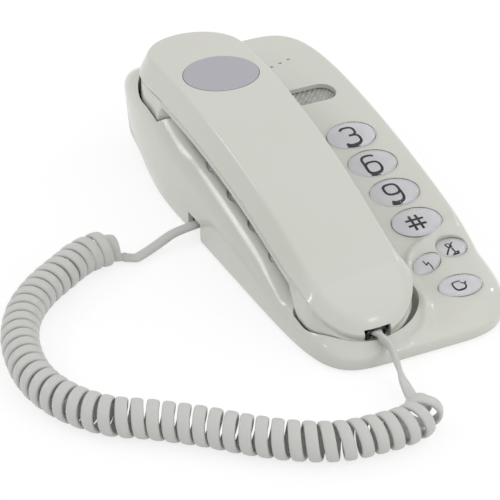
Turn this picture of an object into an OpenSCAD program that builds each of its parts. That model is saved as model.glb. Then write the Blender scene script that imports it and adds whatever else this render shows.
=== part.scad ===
// Slimline wall telephone, lying on its back with the handset in its cradle.
// X runs across the base, Y from the mouthpiece end to the earpiece end, Z up from the table.
// Origin: centre of the base's underside, at the bottom of its feet.

/* [Base] */
// Width of the base across its sides
base_w = 91.5; // [90:0.5:95]
// Length of the base
base_l = 202; // [198:1:212]
// Wall thickness of the moulded shells
wall = 2; // [1.6:0.1:2.4]
// Height of the flat island that carries the three small keys
island_z = 12.2; // [11.6:0.1:13]
// Slope of the deck where it leaves the island
deck_slope = 0.26; // [0.25:0.002:0.27]
// Radius of the rounded rim on the right-hand side
rim_r = 3.6; // [3:0.2:4.4]
// Radius of the soft rim on the left-hand side
soft_rim_r = 9; // [8:0.5:10]
// Thickness of the rubber feet
foot_t = 0.8; // [0.6:0.1:0.9]
// Diameter of the rubber feet
foot_d = 9; // [7:0.5:11]
// Thickness of the back cover
cover_t = 1.6; // [1.4:0.05:1.65]
// Distance between the two wall screws
hanger_pitch = 83; // [70:1:90]
// Width of the keyhole slots, for a 4 mm screw shank
hanger_slot_w = 4.6; // [4.2:0.1:5]
// Diameter of the keyhole entries, for the screw heads
hanger_entry_d = 9; // [8:0.5:10]

/* [Keys] */
// Length of a dialling key across the base
key_w = 21.4; // [19:0.2:22]
// Depth of a dialling key along the base
key_h = 15.8; // [14:0.2:16.4]
// Distance between key columns
column_pitch = 26.8; // [26:0.2:28]
// Distance between key rows
row_pitch = 18.4; // [18:0.1:19]
// Travel of every key
key_travel = 1.5; // [1:0.1:1.6]
// Gap round a key in its opening
key_gap = 0.5; // [0.4:0.05:0.7]
// Height of a key's rim above the deck
key_rim = 0.6; // [0.4:0.1:0.9]
// Height of a key's dome above its rim
key_dome = 1.5; // [1:0.1:1.8]

/* [Handset] */
// Width of the handset at the earpiece
handset_w = 48; // [46:0.2:48.6]
// Width of the handset at the mouthpiece
mouth_w = 44; // [42:0.2:46]
// Length of the handset
handset_l = 182; // [179:0.2:184]
// Distance of the handset's centre line left of the base's centre line
handset_offset = 19.2; // [18.2:0.1:19.4]
// Height of the highest point of the handset above the table
handset_top_z = 54; // [53.5:0.1:56]
// Thickness of the grip
grip_t = 15.5; // [14:0.1:16]
// Height of the ear cup's underside above the table
ear_floor_z = 16; // [15.5:0.1:18]
// Height of the mouth cup's underside above the table
mouth_floor_z = 5.6; // [5.5:0.1:6.2]
// Gap between the handset and its cradle
cradle_gap = 0.8; // [0.6:0.1:1]
// Length of the badge plate across the handset
badge_w = 31.4; // [26:0.2:34]
// Depth of the badge plate along the handset
badge_h = 27; // [22:0.2:29]

/* [Curly cord] */
// Outer diameter of the curls
coil_d = 14.6; // [13:0.1:15]
// Width of the flat cord
cord_w = 4.6; // [4:0.1:4.6]
// Thickness of the flat cord
cord_t = 2.2; // [1.8:0.1:2.4]
// Number of curls
curls = 48; // [40:1:48]

/* [Hidden] */

seat = 0.3;                                  // running gap between neighbouring pieces
cover_z = foot_t;                            // underside of the back cover
cover_top = cover_z + cover_t;               // its upper face
corner = 6.5;                                // squareness of the base's outline
base_steps = 48;                             // points round a base ring
deck_foot_y = -60;                           // where the deck starts to rise
deck_curve = 0.0008;                         // how fast the rise fades
end_drop = 4.2;                              // how far the rim dips at the mouthpiece end
cheek_rise = 6.5;                             // how far the cheek rises beside the ear cup
tuck = 5;                                    // how far the wall is drawn in under the earpiece end
sharp_r = 0.4;                               // least rounding of the rim's inner side

half_w = handset_w / 2;
handset_y0 = -93.4;                          // mouthpiece end of the handset
handset_y1 = handset_y0 + handset_l;         // earpiece end
mouth_bow = 0.85;                            // depth of the mouthpiece end's arc over its half width
mouth_y = handset_y0 + mouth_w / 2 * mouth_bow;  // centres of the two round ends
ear_y = handset_y1 - half_w;
peak_y = 50;                                 // where the handset is highest
arch = 0.00164;                              // how fast its top falls away
end_fall = 5.6;                              // extra fall of the top at the mouthpiece end
side_h = 12;                                 // height of its side above the parting line
ear_step_y = 38;                             // where the ear cup starts
mouth_step_y = -60;                          // where the mouth cup starts
step_l = 11;                                 // length of the step into a cup
cup_r = 6;                                   // rounding under the handset's sides
end_steps = 10;                              // steps round each end of the handset

// ---------- general helpers ----------
function smooth(t) = let (u = min(1, max(0, t))) u * u * (3 - 2 * u);
function mix(a, b, t) = a + (b - a) * t;

// Closed skin over a stack of rings. Each ring starts at its mouthpiece tip and is symmetric
// about its long axis, so the first and the last ring are closed by a strip of triangles.
module skin(rings) {
    n = len(rings[0]);
    m = len(rings);
    points = [for (r = rings) for (p = r) p];
    walls = [for (j = [0:m - 2], i = [0:n - 1]) let (a = j * n + i, b = j * n + (i + 1) % n)
             each [[a, b, b + n], [a, b + n, a + n]]];
    first = [for (t = cap(n)) [t[2], t[1], t[0]]];
    last = [for (t = cap(n)) [for (i = t) i + (m - 1) * n]];
    polyhedron(points, concat(walls, first, last), convexity = 8);
}
function cap(n) = concat([[0, 1, n - 1]],
    [for (k = [1:n / 2 - 2]) each [[k, k + 1, n - k - 1], [k, n - k - 1, n - k]]],
    [[n / 2 - 1, n / 2, n / 2 + 1]]);

// ---------- base form ----------
function deck_z(y) = let (t = max(0, y - deck_foot_y))
    island_z + deck_slope * t - deck_curve * t * t - end_drop * smooth((-y - 84.5) / 13.5);
function rim_z(x, y) = deck_z(y) + cheek_rise * smooth((-x - 24) / 16) * smooth((y - 40) / 36)
    * (1 - 0.5 * smooth((y - 82) / 18));
function base_ring(inset, tucked = 0) = [for (k = [0:base_steps - 1])
    let (turn = 270 + k * 360 / base_steps, a = turn + 6.5 * sin(4 * turn), c = cos(a), s = sin(a),
         r = pow(pow(abs(c), corner) + pow(abs(s), corner), 1 / corner),
         y = (base_l / 2 - inset) * s / r,
         d = inset + tucked * smooth((y - 35) / 60) + 1.1 * smooth((40 - y) / 130))
    [(base_w / 2 - d) * c / r, (base_l / 2 - d) * s / r]];
function rim_radius(x, y) = mix(soft_rim_r, rim_r, smooth((x + 36) / 72))
    * mix(0.42, 1, smooth((y + 95) / 50));
function rim_drop(inset, r) = r - sqrt(r * r - pow(max(0, r - inset), 2));
function top_ring(inset, skin_t) = [for (p = base_ring(inset + skin_t))
    let (r = max(sharp_r, rim_radius(p[0], p[1]) - skin_t))
    [p[0], p[1], rim_z(p[0], p[1]) - rim_drop(inset, r) - skin_t]];
function wall_ring(inset, tucked, z) = [for (p = base_ring(inset, tucked)) [p[0], p[1], z]];

// Outer form of the base, or with skin_t the space inside it
module base_form(skin_t = 0) {
    low = skin_t > 0 ? -1 : cover_z;
    skin([for (d = [base_w / 2 - skin_t - 1, 28, soft_rim_r, 5.4, 2.9, 1.1, 0.25, 0])
              top_ring(d, skin_t),
          [for (p = base_ring(skin_t, tuck * 0.25))
              [p[0], p[1], min(11, 0.45 * rim_z(p[0], p[1])) - 0.2 * skin_t]],
          wall_ring(skin_t, tuck, cover_z + 1.6),
          wall_ring(skin_t + 0.5, tuck, low),
          wall_ring(30, 0, low),
          wall_ring(base_w / 2 - 1, 0, low)]);
}

// ---------- handset form ----------
function handset_top(y) = handset_top_z - arch * pow(y - peak_y, 2) - end_fall * smooth((-y - 73) / 24);
function side_top(y) = side_h - 5 * smooth((-y - 50) / 35);
function parting_z(y) = handset_top(y) - side_top(y);
function handset_bottom(y, grow = 0) = let (grip = handset_top(y) - grip_t,
    ear = smooth((y + grow - ear_step_y) / step_l), mouth = smooth((-y + grow + mouth_step_y) / step_l))
    mix(mix(grip, ear_floor_z, ear), mouth_floor_z, mouth) - grow;
// Places along the sides: close together at the two steps, wide apart on the grip
side_y = concat([for (k = [0:3]) mouth_step_y - step_l * (1 - k / 3)],
                [for (k = [1:5]) mix(mouth_step_y, ear_step_y, k / 6)],
                [for (k = [0:3]) ear_step_y + step_l * k / 3]);
// Stadium outline: the mouth end's arc, the right side, the ear end's arc, the left side
function stadium(inset) = let (m = mouth_w / 2 - inset, e = half_w - inset) concat(
    [for (i = [0:end_steps / 2]) mouth_point(m, 270 + i * 180 / end_steps)],
    [for (y = side_y) side_point(m, e, y, 1)],
    [for (i = [0:end_steps]) ear_point(e, i * 180 / end_steps)],
    [for (k = [len(side_y) - 1:-1:0]) side_point(m, e, side_y[k], -1)],
    [for (i = [0:end_steps / 2 - 1]) mouth_point(m, 180 + i * 180 / end_steps)]);
function mouth_point(w, a) = [w * cos(a) - handset_offset, mouth_y + w * mouth_bow * sin(a)];
function ear_point(w, a) = [w * cos(a) - handset_offset, ear_y + w * sin(a)];
function side_point(m, e, y, side) =
    [side * mix(m, e, smooth((y - mouth_y) / (ear_y - mouth_y))) - handset_offset, y];
function crown(inset) = let (q = 1 - inset / half_w) 1 - pow(1 - pow(q, 3), 1 / 3);
function crown_ring(inset, skin_t) = [for (p = stadium(inset + skin_t))
    [p[0], p[1], handset_top(p[1]) - (side_top(p[1]) - 3) * crown(inset) - skin_t]];
function parting_ring(inset, lift) = [for (p = stadium(inset)) [p[0], p[1], parting_z(p[1]) + lift]];
function cup_radius(y) = min(cup_r, parting_z(y) - handset_bottom(y) - 0.8);
function floor_ring(part, skin_t, grow = 0) = [for (p = stadium(cup_r * part + skin_t - grow))
    let (r = cup_radius(p[1]), e = max(0, 1 - part)) [p[0], p[1],
        min(handset_bottom(p[1], grow) + r * (1 - sqrt(1 - e * e)) + skin_t, parting_z(p[1]) - 0.3)]];
crown_insets = [mouth_w / 2 - wall - 0.6, 14, 9, 5.4, 3, 1.4, 0.5, 0];

module handset_top_form() {
    skin(concat([for (d = crown_insets) crown_ring(d, 0)],
                [parting_ring(0.7, 0), parting_ring(wall + 0.7, 0)],
                [for (k = [len(crown_insets) - 1:-1:0]) crown_ring(crown_insets[k], wall)]));
}
floor_parts = [0.02, 0.2, 0.5, 1, 2, (mouth_w / 2 - wall - 0.6) / cup_r];    // of the cup's rounding
module handset_bottom_form() {
    last = len(floor_parts) - 1;
    skin(concat([for (k = [0:last]) floor_ring(floor_parts[last - k], wall)],
                [parting_ring(wall + 0.7, -0.1), parting_ring(0.7, -0.1)],
                [for (part = floor_parts) floor_ring(part, 0)]));
}
// Room that the handset takes when it is lowered into the cradle
module cradle_form(grow) {
    skin(concat([for (d = [mouth_w / 2 - 1, 0])
                    [for (p = stadium(d - grow)) [p[0], p[1], handset_top_z + 20]]],
                [for (part = floor_parts) floor_ring(part, 0, grow)]));
}

// ---------- key field ----------
first_row_y = 14.6;
field_x = -0.7;                              // middle column, left of the base's centre line
key_slope = atan((deck_z(first_row_y) - deck_z(first_row_y - 3 * row_pitch)) / (3 * row_pitch));
field_y = first_row_y - 1.5 * row_pitch;
field_z = (deck_z(first_row_y) + deck_z(first_row_y - 3 * row_pitch)) / 2 + 0.2;
module on_field() translate([field_x, field_y, field_z]) rotate([key_slope, 0, 0]) children();
module at_key(column, row) on_field()
    translate([(column - 1) * column_pitch, (1.5 - row) * row_pitch / cos(key_slope), 0]) children();
// Small keys: [x, y, width, depth, turn]
flash_key = [18.7, -62, 15.5, 8.6, 34];
mute_key = [32.9, -56, 12.6, 11.4, 12];
redial_key = [22.7, -80.6, 17.6, 12.6, 0];
module at_small(k) translate([k[0], k[1], island_z]) rotate([0, 0, k[4]]) children();

oval_steps = 16;
function oval(w, h) = [for (i = [0:oval_steps - 1]) let (a = 270 + i * 360 / oval_steps)
    [w / 2 * cos(a), h / 2 * sin(a)]];
function oval_ring(w, h, z) = [for (p = oval(w, h)) [p[0], p[1], z]];
deck_under = wall + 0.9;                     // depth of a key's tabs below the deck's face
tab_t = 1.2;                                 // thickness of those tabs
cap_wall = 1.3;                              // wall of a clear cap
label_gap = 0.15;                            // gap round an insert in its cap
stem_l = 0.5;                                // stem under an insert, which presses the dome

// Clear cap: an oval skirt with a domed top, two retaining tabs and a pocket for its label
module key_cap(w, h) {
    color([0.86, 0.87, 0.9, 0.5]) difference() {
        union() {
            translate([0, 0, -deck_under - tab_t]) linear_extrude(deck_under + tab_t + key_rim - 0.1)
                polygon(oval(w, h));
            skin([oval_ring(w * 0.3, h * 0.3, key_rim + key_dome),
                  oval_ring(w * 0.72, h * 0.72, key_rim + key_dome * 0.68),
                  oval_ring(w, h, key_rim), oval_ring(w, h, key_rim - 0.2),
                  oval_ring(w * 0.3, h * 0.3, key_rim - 0.2)]);
            for (side = [-1, 1])
                translate([side * w / 5 - 1.5, side * h / 2 * 0.8 + (side - 1) * 1.1, -deck_under - tab_t])
                    cube([3, 2.2, tab_t]);
        }
        translate([0, 0, -deck_under - tab_t - 1])
            linear_extrude(deck_under + tab_t + 1 + key_rim - 1.2)
                polygon(oval(w - 2 * cap_wall, h - 2 * cap_wall));
    }
}
// Printed insert on its carrier, which presses the dome of the mat
module key_label(w, h) {
    inner_w = w - 2 * cap_wall - 2 * label_gap;
    inner_h = h - 2 * cap_wall - 2 * label_gap;
    color([0.75, 0.75, 0.8]) union() {
        translate([0, 0, -deck_under - tab_t]) linear_extrude(deck_under + tab_t + key_rim - 1.35)
            polygon(oval(inner_w, inner_h));
        translate([0, 0, -deck_under - tab_t - stem_l]) cylinder(h = 2 * stem_l, d = 5, $fn = 24);
    }
}
module opening(w, h) hull() {
    translate([0, 0, -wall - 2.4]) linear_extrude(1) polygon(oval(w + 2 * key_gap, h + 2 * key_gap));
    translate([0, 0, 2.5]) linear_extrude(1) polygon(oval(w + 2 * key_gap, h + 2 * key_gap));
}

// ---------- sockets, lamp and sound holes ----------
jack_w = 11;                                 // width of a cord socket's mouth
jack_h = 6.4;                                // its height
plug_w = 7.6;                                // modular plug: width, height, length
plug_h = 4.8;
plug_l = 12;
plug_tail = 2.6;                             // plug that stands out of its socket
plug_gap = 0.15;                             // play of a plug in its socket
jack_block_w = plug_w + 2 * plug_gap + 2.4;
base_block_h = plug_h + 2 * plug_gap + 1.2;
handset_block_h = plug_h + 2 * plug_gap + 1;
plug_back = 6.5;                             // how deep the base's socket face lies in the wall
base_jack_y = 12;
base_jack_z = cover_top + 3.4;
handset_plug_back = 4.6;                     // how deep the handset's socket face lies
handset_mouth_h = 5.4;                       // height of the handset's cord opening
handset_jack_z = 10.2;
line_x = 16;                                 // line socket, in the earpiece end
line_face_y = 96.4;
line_jack_w = 13;
line_jack_h = 10;
line_jack_z = 12;
lens = [12.3, 35.3, 41, 53];                 // lamp window: x from, x to, y from, y to
lens_t = 1.2;
lens_y = (lens[2] + lens[3]) / 2;
ringer_xy = [19.5, 72];                      // sounder disc under the deck
ringer_d = 20;
ringer_t = 0.8;
sound_xy = [23.3, 74];                       // middle one of its three sound holes
sound_step = [4.6, 1.4];
ringer_hole_d = 1.4;
switch_y = 40;                               // ringer volume switch, on the right wall
switch_z = 14;
switch_l = 6;
switch_travel = 2;
hook_xy = [-handset_offset, 60];             // hook plunger, under the ear cup
hook_w = 8;
hook_h = 5;
hook_stroke = 4;
hook_gap = 0.4;                              // gap round the plunger in its slot
cradle_z = ear_floor_z - cradle_gap;         // floor of the cradle under the ear cup
hanger_slot_l = 9;                           // from a keyhole's entry to its end

module lens_outline(grow) {
    r = (lens[3] - lens[2]) / 2;
    hull() {
        translate([lens[0] - grow, lens[2] - grow]) square([4, 2 * (r + grow)]);
        translate([lens[1] - r, lens[2] + r]) circle(r = r + grow, $fn = 32);
    }
}
lens_z = deck_z(lens_y) - 0.9;
lens_tilt = atan(deck_slope - 2 * deck_curve * (lens_y - deck_foot_y));
module on_lens() translate([0, lens_y, lens_z]) rotate([lens_tilt, 0, 0])
    translate([0, -lens_y, 0]) children();

// ---------- base pieces ----------
screw_d = 2.6;                               // all five screws are alike
screw_head_d = 5;
boss_d = 7;
base_screw_xy = [[-30, 84], [30, 84], [33, -90.5]];
foot_xy = [[-30, 70], [30, 70], [-32, -80], [32, -80]];
module base_top_shell() {
    color([0.8, 0.81, 0.78]) difference() {
        base_form();
        difference() {
            base_form(wall);
            cradle_form(cradle_gap + wall);
            for (p = base_screw_xy) translate([p[0], p[1], cover_top + seat])
                cylinder(h = 60, d = boss_d, $fn = 20);
        }
        cradle_form(cradle_gap);
        for (p = base_screw_xy) translate([p[0], p[1], cover_z])
            cylinder(h = 9.2, d = screw_d + 0.2, $fn = 12);
        for (row = [0:3], column = [0:2]) at_key(column, row) opening(key_w, key_h);
        for (k = [flash_key, mute_key, redial_key]) at_small(k) opening(k[2], k[3]);
        on_lens() translate([0, 0, -wall - 2]) linear_extrude(wall + 6) lens_outline(0);
        for (i = [-1:1]) translate([sound_xy[0] + i * sound_step[0], sound_xy[1] + i * sound_step[1], 20])
            cylinder(h = 30, d = ringer_hole_d, $fn = 12);
        translate([hook_xy[0], hook_xy[1], cradle_z - wall - 2])
            translate([-hook_w / 2 - hook_gap, -hook_h / 2 - hook_gap, 0])
                cube([hook_w + 2 * hook_gap, hook_h + 2 * hook_gap, wall + 5]);
        translate([-base_w / 2 - 2, base_jack_y - jack_w / 2, -2])
            cube([9, jack_w, base_jack_z + jack_h / 2 + 2]);
        translate([line_x - line_jack_w / 2 - seat, line_face_y - 6, line_jack_z - line_jack_h / 2 - seat])
            cube([line_jack_w + 2 * seat, 20, line_jack_h + 2 * seat]);
        translate([base_w / 2 - 10, switch_y - (switch_l + switch_travel) / 2 - seat, switch_z - 1.5 - seat])
            cube([20, switch_l + switch_travel + 2 * seat, 3 + 2 * seat]);
    }
}
post_d = 4;
post_xy = [[-34, -42], [34, -42], [-34, 20.5], [34, 20.5]];
// Height of the main board's underside, which is tilted with the key field
function board_under(y) = field_z + (y - field_y) * tan(key_slope)
    + (mat_top - dome_h - mat_t - board_t) / cos(key_slope);
module base_back_cover() {
    color([0.74, 0.75, 0.72]) union() {
        cover_plate();
        for (p = post_xy) translate([p[0], p[1], cover_z + 0.5])
            cylinder(h = board_under(p[1] - post_d / 2) - 0.05 - cover_z - 0.5, d = post_d, $fn = 24);
    }
}
module cover_plate() {
    difference() {
        translate([0, 0, cover_z]) linear_extrude(cover_t) polygon(base_ring(wall + seat + 0.5, tuck));
        for (y = [-hanger_pitch / 2, hanger_pitch / 2]) translate([0, y, cover_z - 1]) {
            cylinder(h = cover_t + 2, d = hanger_entry_d, $fn = 40);
            translate([-hanger_slot_w / 2, 0, 0]) cube([hanger_slot_w, hanger_slot_l, cover_t + 2]);
            translate([0, hanger_slot_l, 0]) cylinder(h = cover_t + 2, d = hanger_slot_w, $fn = 40);
        }
        for (p = base_screw_xy) translate([p[0], p[1], cover_z - 1])
            cylinder(h = cover_t + 2, d = screw_d + 0.6, $fn = 24);
        translate([-base_w / 2, base_jack_y - jack_w / 2 - seat, 0])
            cube([base_w / 2 - 36, jack_w + 2 * seat, cover_top + 1]);
    }
}
module base_feet() {
    color([0.35, 0.35, 0.36]) for (p = foot_xy) translate([p[0], p[1], 0])
        cylinder(h = foot_t, d = foot_d, $fn = 40);
}
module base_screws() {
    color([0.6, 0.6, 0.62]) for (p = base_screw_xy) translate([p[0], p[1], 0]) {
        translate([0, 0, 0.2]) cylinder(h = cover_z - 0.2, d = screw_head_d, $fn = 32);
        translate([0, 0, 0.2]) cylinder(h = cover_top + 5.5, d = screw_d, $fn = 24);
    }
}
mat_top = -deck_under - tab_t - stem_l - key_travel - seat; // top of a mat's domes
mat_t = 1;
dome_h = 1.2;
board_t = 1.6;                               // main board
small_board_t = 1;                           // board of the small keys
board_half_w = 37.5;
board_edge = 8.6;                            // board beyond the centres of its first and last rows
module domes(xy) for (p = xy) translate([p[0], p[1], mat_top - dome_h - 0.2])
    cylinder(h = dome_h + 0.2, d1 = 8, d2 = 5.5, $fn = 24);
field_xy = [for (r = [0:3], c = [-1:1]) [c * column_pitch, (1.5 - r) * row_pitch / cos(key_slope)]];
function board_y(side) = side * (1.5 * row_pitch / cos(key_slope) + board_edge);
module field_plate(z, t, edge) translate([-board_half_w + edge, board_y(-1) + edge, z])
    cube([2 * (board_half_w - edge), board_y(1) - board_y(-1) - 2 * edge, t]);
module keypad_mat() {
    color([0.7, 0.7, 0.72]) on_field() union() {
        field_plate(mat_top - dome_h - mat_t, mat_t, 1.5);
        domes(field_xy);
    }
}
module main_board() {
    color([0.2, 0.45, 0.25]) on_field() field_plate(mat_top - dome_h - mat_t - board_t, board_t, 0);
}
// The small keys' own mat and board, flat under the island
island_board = [9, 38, -86, -48.5];           // x from, x to, y from, y to
function small_xy() = [for (k = [flash_key, mute_key, redial_key]) [k[0], k[1]]];
module island_plate(z, t, edge) translate([island_board[0] + edge, island_board[2] + edge, z])
    cube([island_board[1] - island_board[0] - 2 * edge, island_board[3] - island_board[2] - 2 * edge, t]);
module function_mat() {
    color([0.7, 0.7, 0.72]) translate([0, 0, island_z]) union() {
        island_plate(mat_top - dome_h - mat_t, mat_t, 1);
        domes(small_xy());
    }
}
module function_board() {
    color([0.2, 0.45, 0.25]) translate([0, 0, island_z])
        island_plate(mat_top - dome_h - mat_t - small_board_t, small_board_t, 0);
}

hook_top = ear_floor_z - seat;
hook_flange_z = cradle_z - wall - seat - hook_stroke;       // top of the flange when pressed
hook_floor_z = cover_top + hook_stroke / 2;                 // lower end of the plunger's stem
switch_top = hook_flange_z - 1 - seat;                      // room under the flange
rest_gap = 0.05;                                            // between faces that rest on each other
module hook_plunger() {
    color([0.8, 0.81, 0.78]) translate([hook_xy[0], hook_xy[1], 0]) union() {
        translate([-hook_w / 2, -hook_h / 2, hook_flange_z - 0.5])
            cube([hook_w, hook_h, hook_top - hook_flange_z + 0.5]);
        translate([-hook_w / 2 - 2, -hook_h / 2 - 2, hook_flange_z - 1]) cube([hook_w + 4, hook_h + 4, 1]);
        translate([0, 0, hook_floor_z]) cylinder(h = hook_flange_z - 0.5 - hook_floor_z, d = 2.6, $fn = 24);
    }
}
module hook_spring() {
    color([0.7, 0.7, 0.72]) translate([hook_xy[0], hook_xy[1], cover_top + rest_gap])
        rotate_extrude($fn = 32) translate([1.9, 0]) square([0.9, switch_top - cover_top - rest_gap]);
}
module hook_switch() {
    color([0.25, 0.25, 0.27]) translate([hook_xy[0] + 3.6, hook_xy[1] - 3, cover_top + rest_gap])
        cube([6, 6, switch_top - cover_top - rest_gap]);
}
module ringer_disc() {
    color([0.8, 0.65, 0.3]) translate([ringer_xy[0], ringer_xy[1], deck_z(ringer_xy[1]) - wall - 0.45])
        rotate([2, 0, 0]) translate([0, 0, -ringer_t]) union() {
            cylinder(h = 0.4, d = ringer_d, $fn = 48);
            cylinder(h = ringer_t, d = ringer_d * 0.7, $fn = 48);
        }
}
module lamp_lens() {
    color([0.45, 0.47, 0.46]) on_lens() translate([0, 0, -wall - seat - 0.2 - lens_t + 0.9])
        linear_extrude(lens_t) lens_outline(1.5);
}
module socket_body(w, h, l, mouth_w, mouth_h, depth) difference() {
    translate([-w / 2, 0, -h / 2]) cube([w, l, h]);
    translate([-mouth_w / 2, -1, -mouth_h / 2]) cube([mouth_w, depth + 1, mouth_h]);
}
module base_cord_jack() {
    color([0.3, 0.31, 0.3]) translate([-base_w / 2 + plug_back, base_jack_y, base_jack_z]) rotate([0, 0, -90])
        socket_body(jack_block_w, base_block_h, plug_l - 1,
                    plug_w + 2 * plug_gap, plug_h + 2 * plug_gap, plug_l - 2.4);
}
module modular_plug(tail) {
    union() {
        translate([-plug_w / 2, -tail, -plug_h / 2]) cube([plug_w, plug_l - 2.8 + tail, plug_h]);
        translate([-1.6, 2, plug_h / 2 - 0.6]) cube([3.2, 4, 0.6]);
    }
}
module cord_plug_base() {
    color([0.75, 0.78, 0.8, 0.6]) translate([-base_w / 2 + plug_back, base_jack_y, base_jack_z])
        rotate([0, 0, -90]) modular_plug(plug_tail);
}
module cord_plug_handset() {
    color([0.75, 0.78, 0.8, 0.6]) translate([-handset_offset, handset_y0 + handset_plug_back, handset_jack_z])
        modular_plug(plug_tail);
}
module handset_jack() {
    color([0.3, 0.31, 0.3]) translate([-handset_offset, handset_y0 + handset_plug_back, handset_jack_z])
        socket_body(jack_block_w, handset_block_h, plug_l - 1,
                    plug_w + 2 * plug_gap, plug_h + 2 * plug_gap, plug_l - 2.4);
}
module line_jack() {
    color([0.3, 0.31, 0.3]) translate([line_x, line_face_y, line_jack_z]) rotate([0, 0, 180])
        socket_body(line_jack_w, line_jack_h, 13, 9.9, 6.8, 11);
}
module ringer_switch() {
    color([0.3, 0.31, 0.3]) union() {
        translate([base_w / 2 - 3.4, switch_y - switch_l / 2, switch_z - 1.5]) cube([2.9, switch_l, 3]);
        translate([base_w / 2 - 4.4, switch_y - switch_l / 2 - 2, switch_z - 3]) cube([1.2, switch_l + 4, 6]);
    }
}

// ---------- handset pieces ----------
handset_screw_y = [-46, 26];
receiver_d = 29;
receiver_y = 66.2;
mic_x = 10.2 - handset_offset;
mic_y = -76.2;
slot_pitch = 3;                              // sound slots of both cups
slot_w = 1.6;
slot_field_r = 10;                           // half length of the middle slot, with its ends
module ear_slots() for (i = [-3:3]) let (half = sqrt(pow(slot_field_r, 2) - pow(slot_pitch * i, 2)))
    translate([-handset_offset + i * slot_pitch, receiver_y, ear_floor_z - 1]) hull() for (s = [-1, 1])
        translate([0, s * (half - 2), 0]) cylinder(h = wall + 3, d = slot_w, $fn = 12);
module mouth_slots() for (i = [-1:1])
    translate([mic_x + i * slot_pitch, mic_y, mouth_floor_z - 1]) hull() for (s = [-1, 1])
        translate([0, s * 2, 0]) cylinder(h = wall + 3, d = 1.2, $fn = 12);
badge_y = 42;
badge_t = 0.9;                               // depth of its recess
badge_gap = 0.25;                            // gap round the badge
badge_steps = 36;
function crown_at(x, y) = let (inset = max(0.01, half_w - abs(x + handset_offset)))
    handset_top(y) - (side_top(y) - 3) * crown(inset);
function badge_ring(size, lift) = [for (k = [0:badge_steps - 1])
    let (a = 270 + k * 360 / badge_steps,
         x = size[0] / 2 * cos(a) - handset_offset, y = badge_y + size[1] / 2 * sin(a))
    [x, y, crown_at(x, y) + lift]];
module badge_form(gap, low, high) {
    full = [badge_w + 2 * gap, badge_h + 2 * gap];
    skin([badge_ring(full * 0.3, high), badge_ring(full * 0.7, high), badge_ring(full, high),
          badge_ring(full, low), badge_ring(full * 0.7, low), badge_ring(full * 0.3, low)]);
}
module handset_outer_shell() {
    color([0.8, 0.81, 0.78]) union() {
        difference() {
            handset_top_form();
            badge_form(badge_gap, -badge_t, 3);
            translate([-handset_offset - jack_w / 2, handset_y0 - 2, handset_jack_z - 6])
                cube([jack_w, 9, 6 + handset_mouth_h / 2]);
        }
        for (y = handset_screw_y) translate([-handset_offset, y, 0]) {
            top = handset_top(y) - wall;
            low = handset_bottom(y) + wall + 1.8;
            difference() {
                translate([0, 0, low]) cylinder(h = top - low + 1, d = boss_d, $fn = 20);
                translate([0, 0, low - 1]) cylinder(h = 8, d = screw_d + 0.2, $fn = 16);
            }
            for (turn = [0:90:270]) rotate([0, 0, turn]) hull() {
                translate([boss_d / 2 - 1, -0.5, top - 4]) cube([0.8, 1, 4.4]);
                translate([boss_d / 2 + 2.4, -0.5, top - 0.6]) cube([0.8, 1, 0.8]);
            }
        }
    }
}
module handset_inner_shell() {
    color([0.8, 0.81, 0.78]) difference() {
        handset_bottom_form();
        ear_slots();
        mouth_slots();
        for (y = handset_screw_y) translate([-handset_offset, y, handset_bottom(y) - 3]) {
            cylinder(h = 9, d = screw_d + 0.6, $fn = 16);
            cylinder(h = 4.4, d = screw_head_d + 0.6, $fn = 20);
        }
        translate([-handset_offset - jack_w / 2, handset_y0 - 2, handset_jack_z - handset_mouth_h / 2])
            cube([jack_w, 8, 12]);
        translate([-handset_offset - jack_block_w / 2 - seat, handset_y0 + handset_plug_back - seat,
                   handset_jack_z - handset_block_h / 2 - 0.15])
            cube([jack_block_w + 2 * seat, plug_l + 2 * seat, 12]);
    }
}
module badge_plate() {
    color([0.72, 0.72, 0.77]) badge_form(0, -badge_t + 0.05, 0.25);
}
module receiver() {
    color([0.25, 0.25, 0.27]) translate([-handset_offset, receiver_y, ear_floor_z + wall + 0.1]) union() {
        cylinder(h = 3, d = receiver_d, $fn = 56);
        cylinder(h = 9, d = receiver_d - 8, $fn = 56);
    }
}
module microphone() {
    color([0.7, 0.7, 0.72]) translate([mic_x, mic_y, mouth_floor_z + wall + seat])
        cylinder(h = 5, d = 9.7, $fn = 40);
}
weight_size = [14, 36, 3];
weight_y = 2;
weight_tilt = atan(-2 * arch * (weight_y - peak_y));
module handset_weight() {
    color([0.6, 0.6, 0.62])
        translate([-handset_offset, weight_y, handset_top(weight_y) - grip_t + wall + 0.7])
            rotate([weight_tilt, 0, 0]) translate([-weight_size[0] / 2, -weight_size[1] / 2, 0])
                cube(weight_size);
}
module handset_screws() {
    color([0.6, 0.6, 0.62]) for (y = handset_screw_y) translate([-handset_offset, y, handset_bottom(y)]) {
        translate([0, 0, -0.1]) cylinder(h = 1.45, d = screw_head_d, $fn = 32);
        cylinder(h = 8.4, d = screw_d, $fn = 24);
    }
}

// ---------- curly cord ----------
// Centre line of the curls on the table, from the base's lead to the handset's
coil_route = [[-74, 5], [-83, 9.5], [-95, 8], [-107, 1], [-120, -8], [-131, -20], [-139, -37], [-142, -58],
              [-138, -76], [-128, -91], [-114, -101], [-100, -112], [-87, -124], [-74, -134], [-60, -141],
              [-46, -143], [-35, -143], [-27, -140], [-23.5, -132], [-22.5, -125]];
// Lead from the base's plug to the curls: [x, y, z]
base_lead = [[-55, 11.6, 4.6], [-62, 9.6, 3.2], [-68, 7.4, 2.4]];
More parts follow.
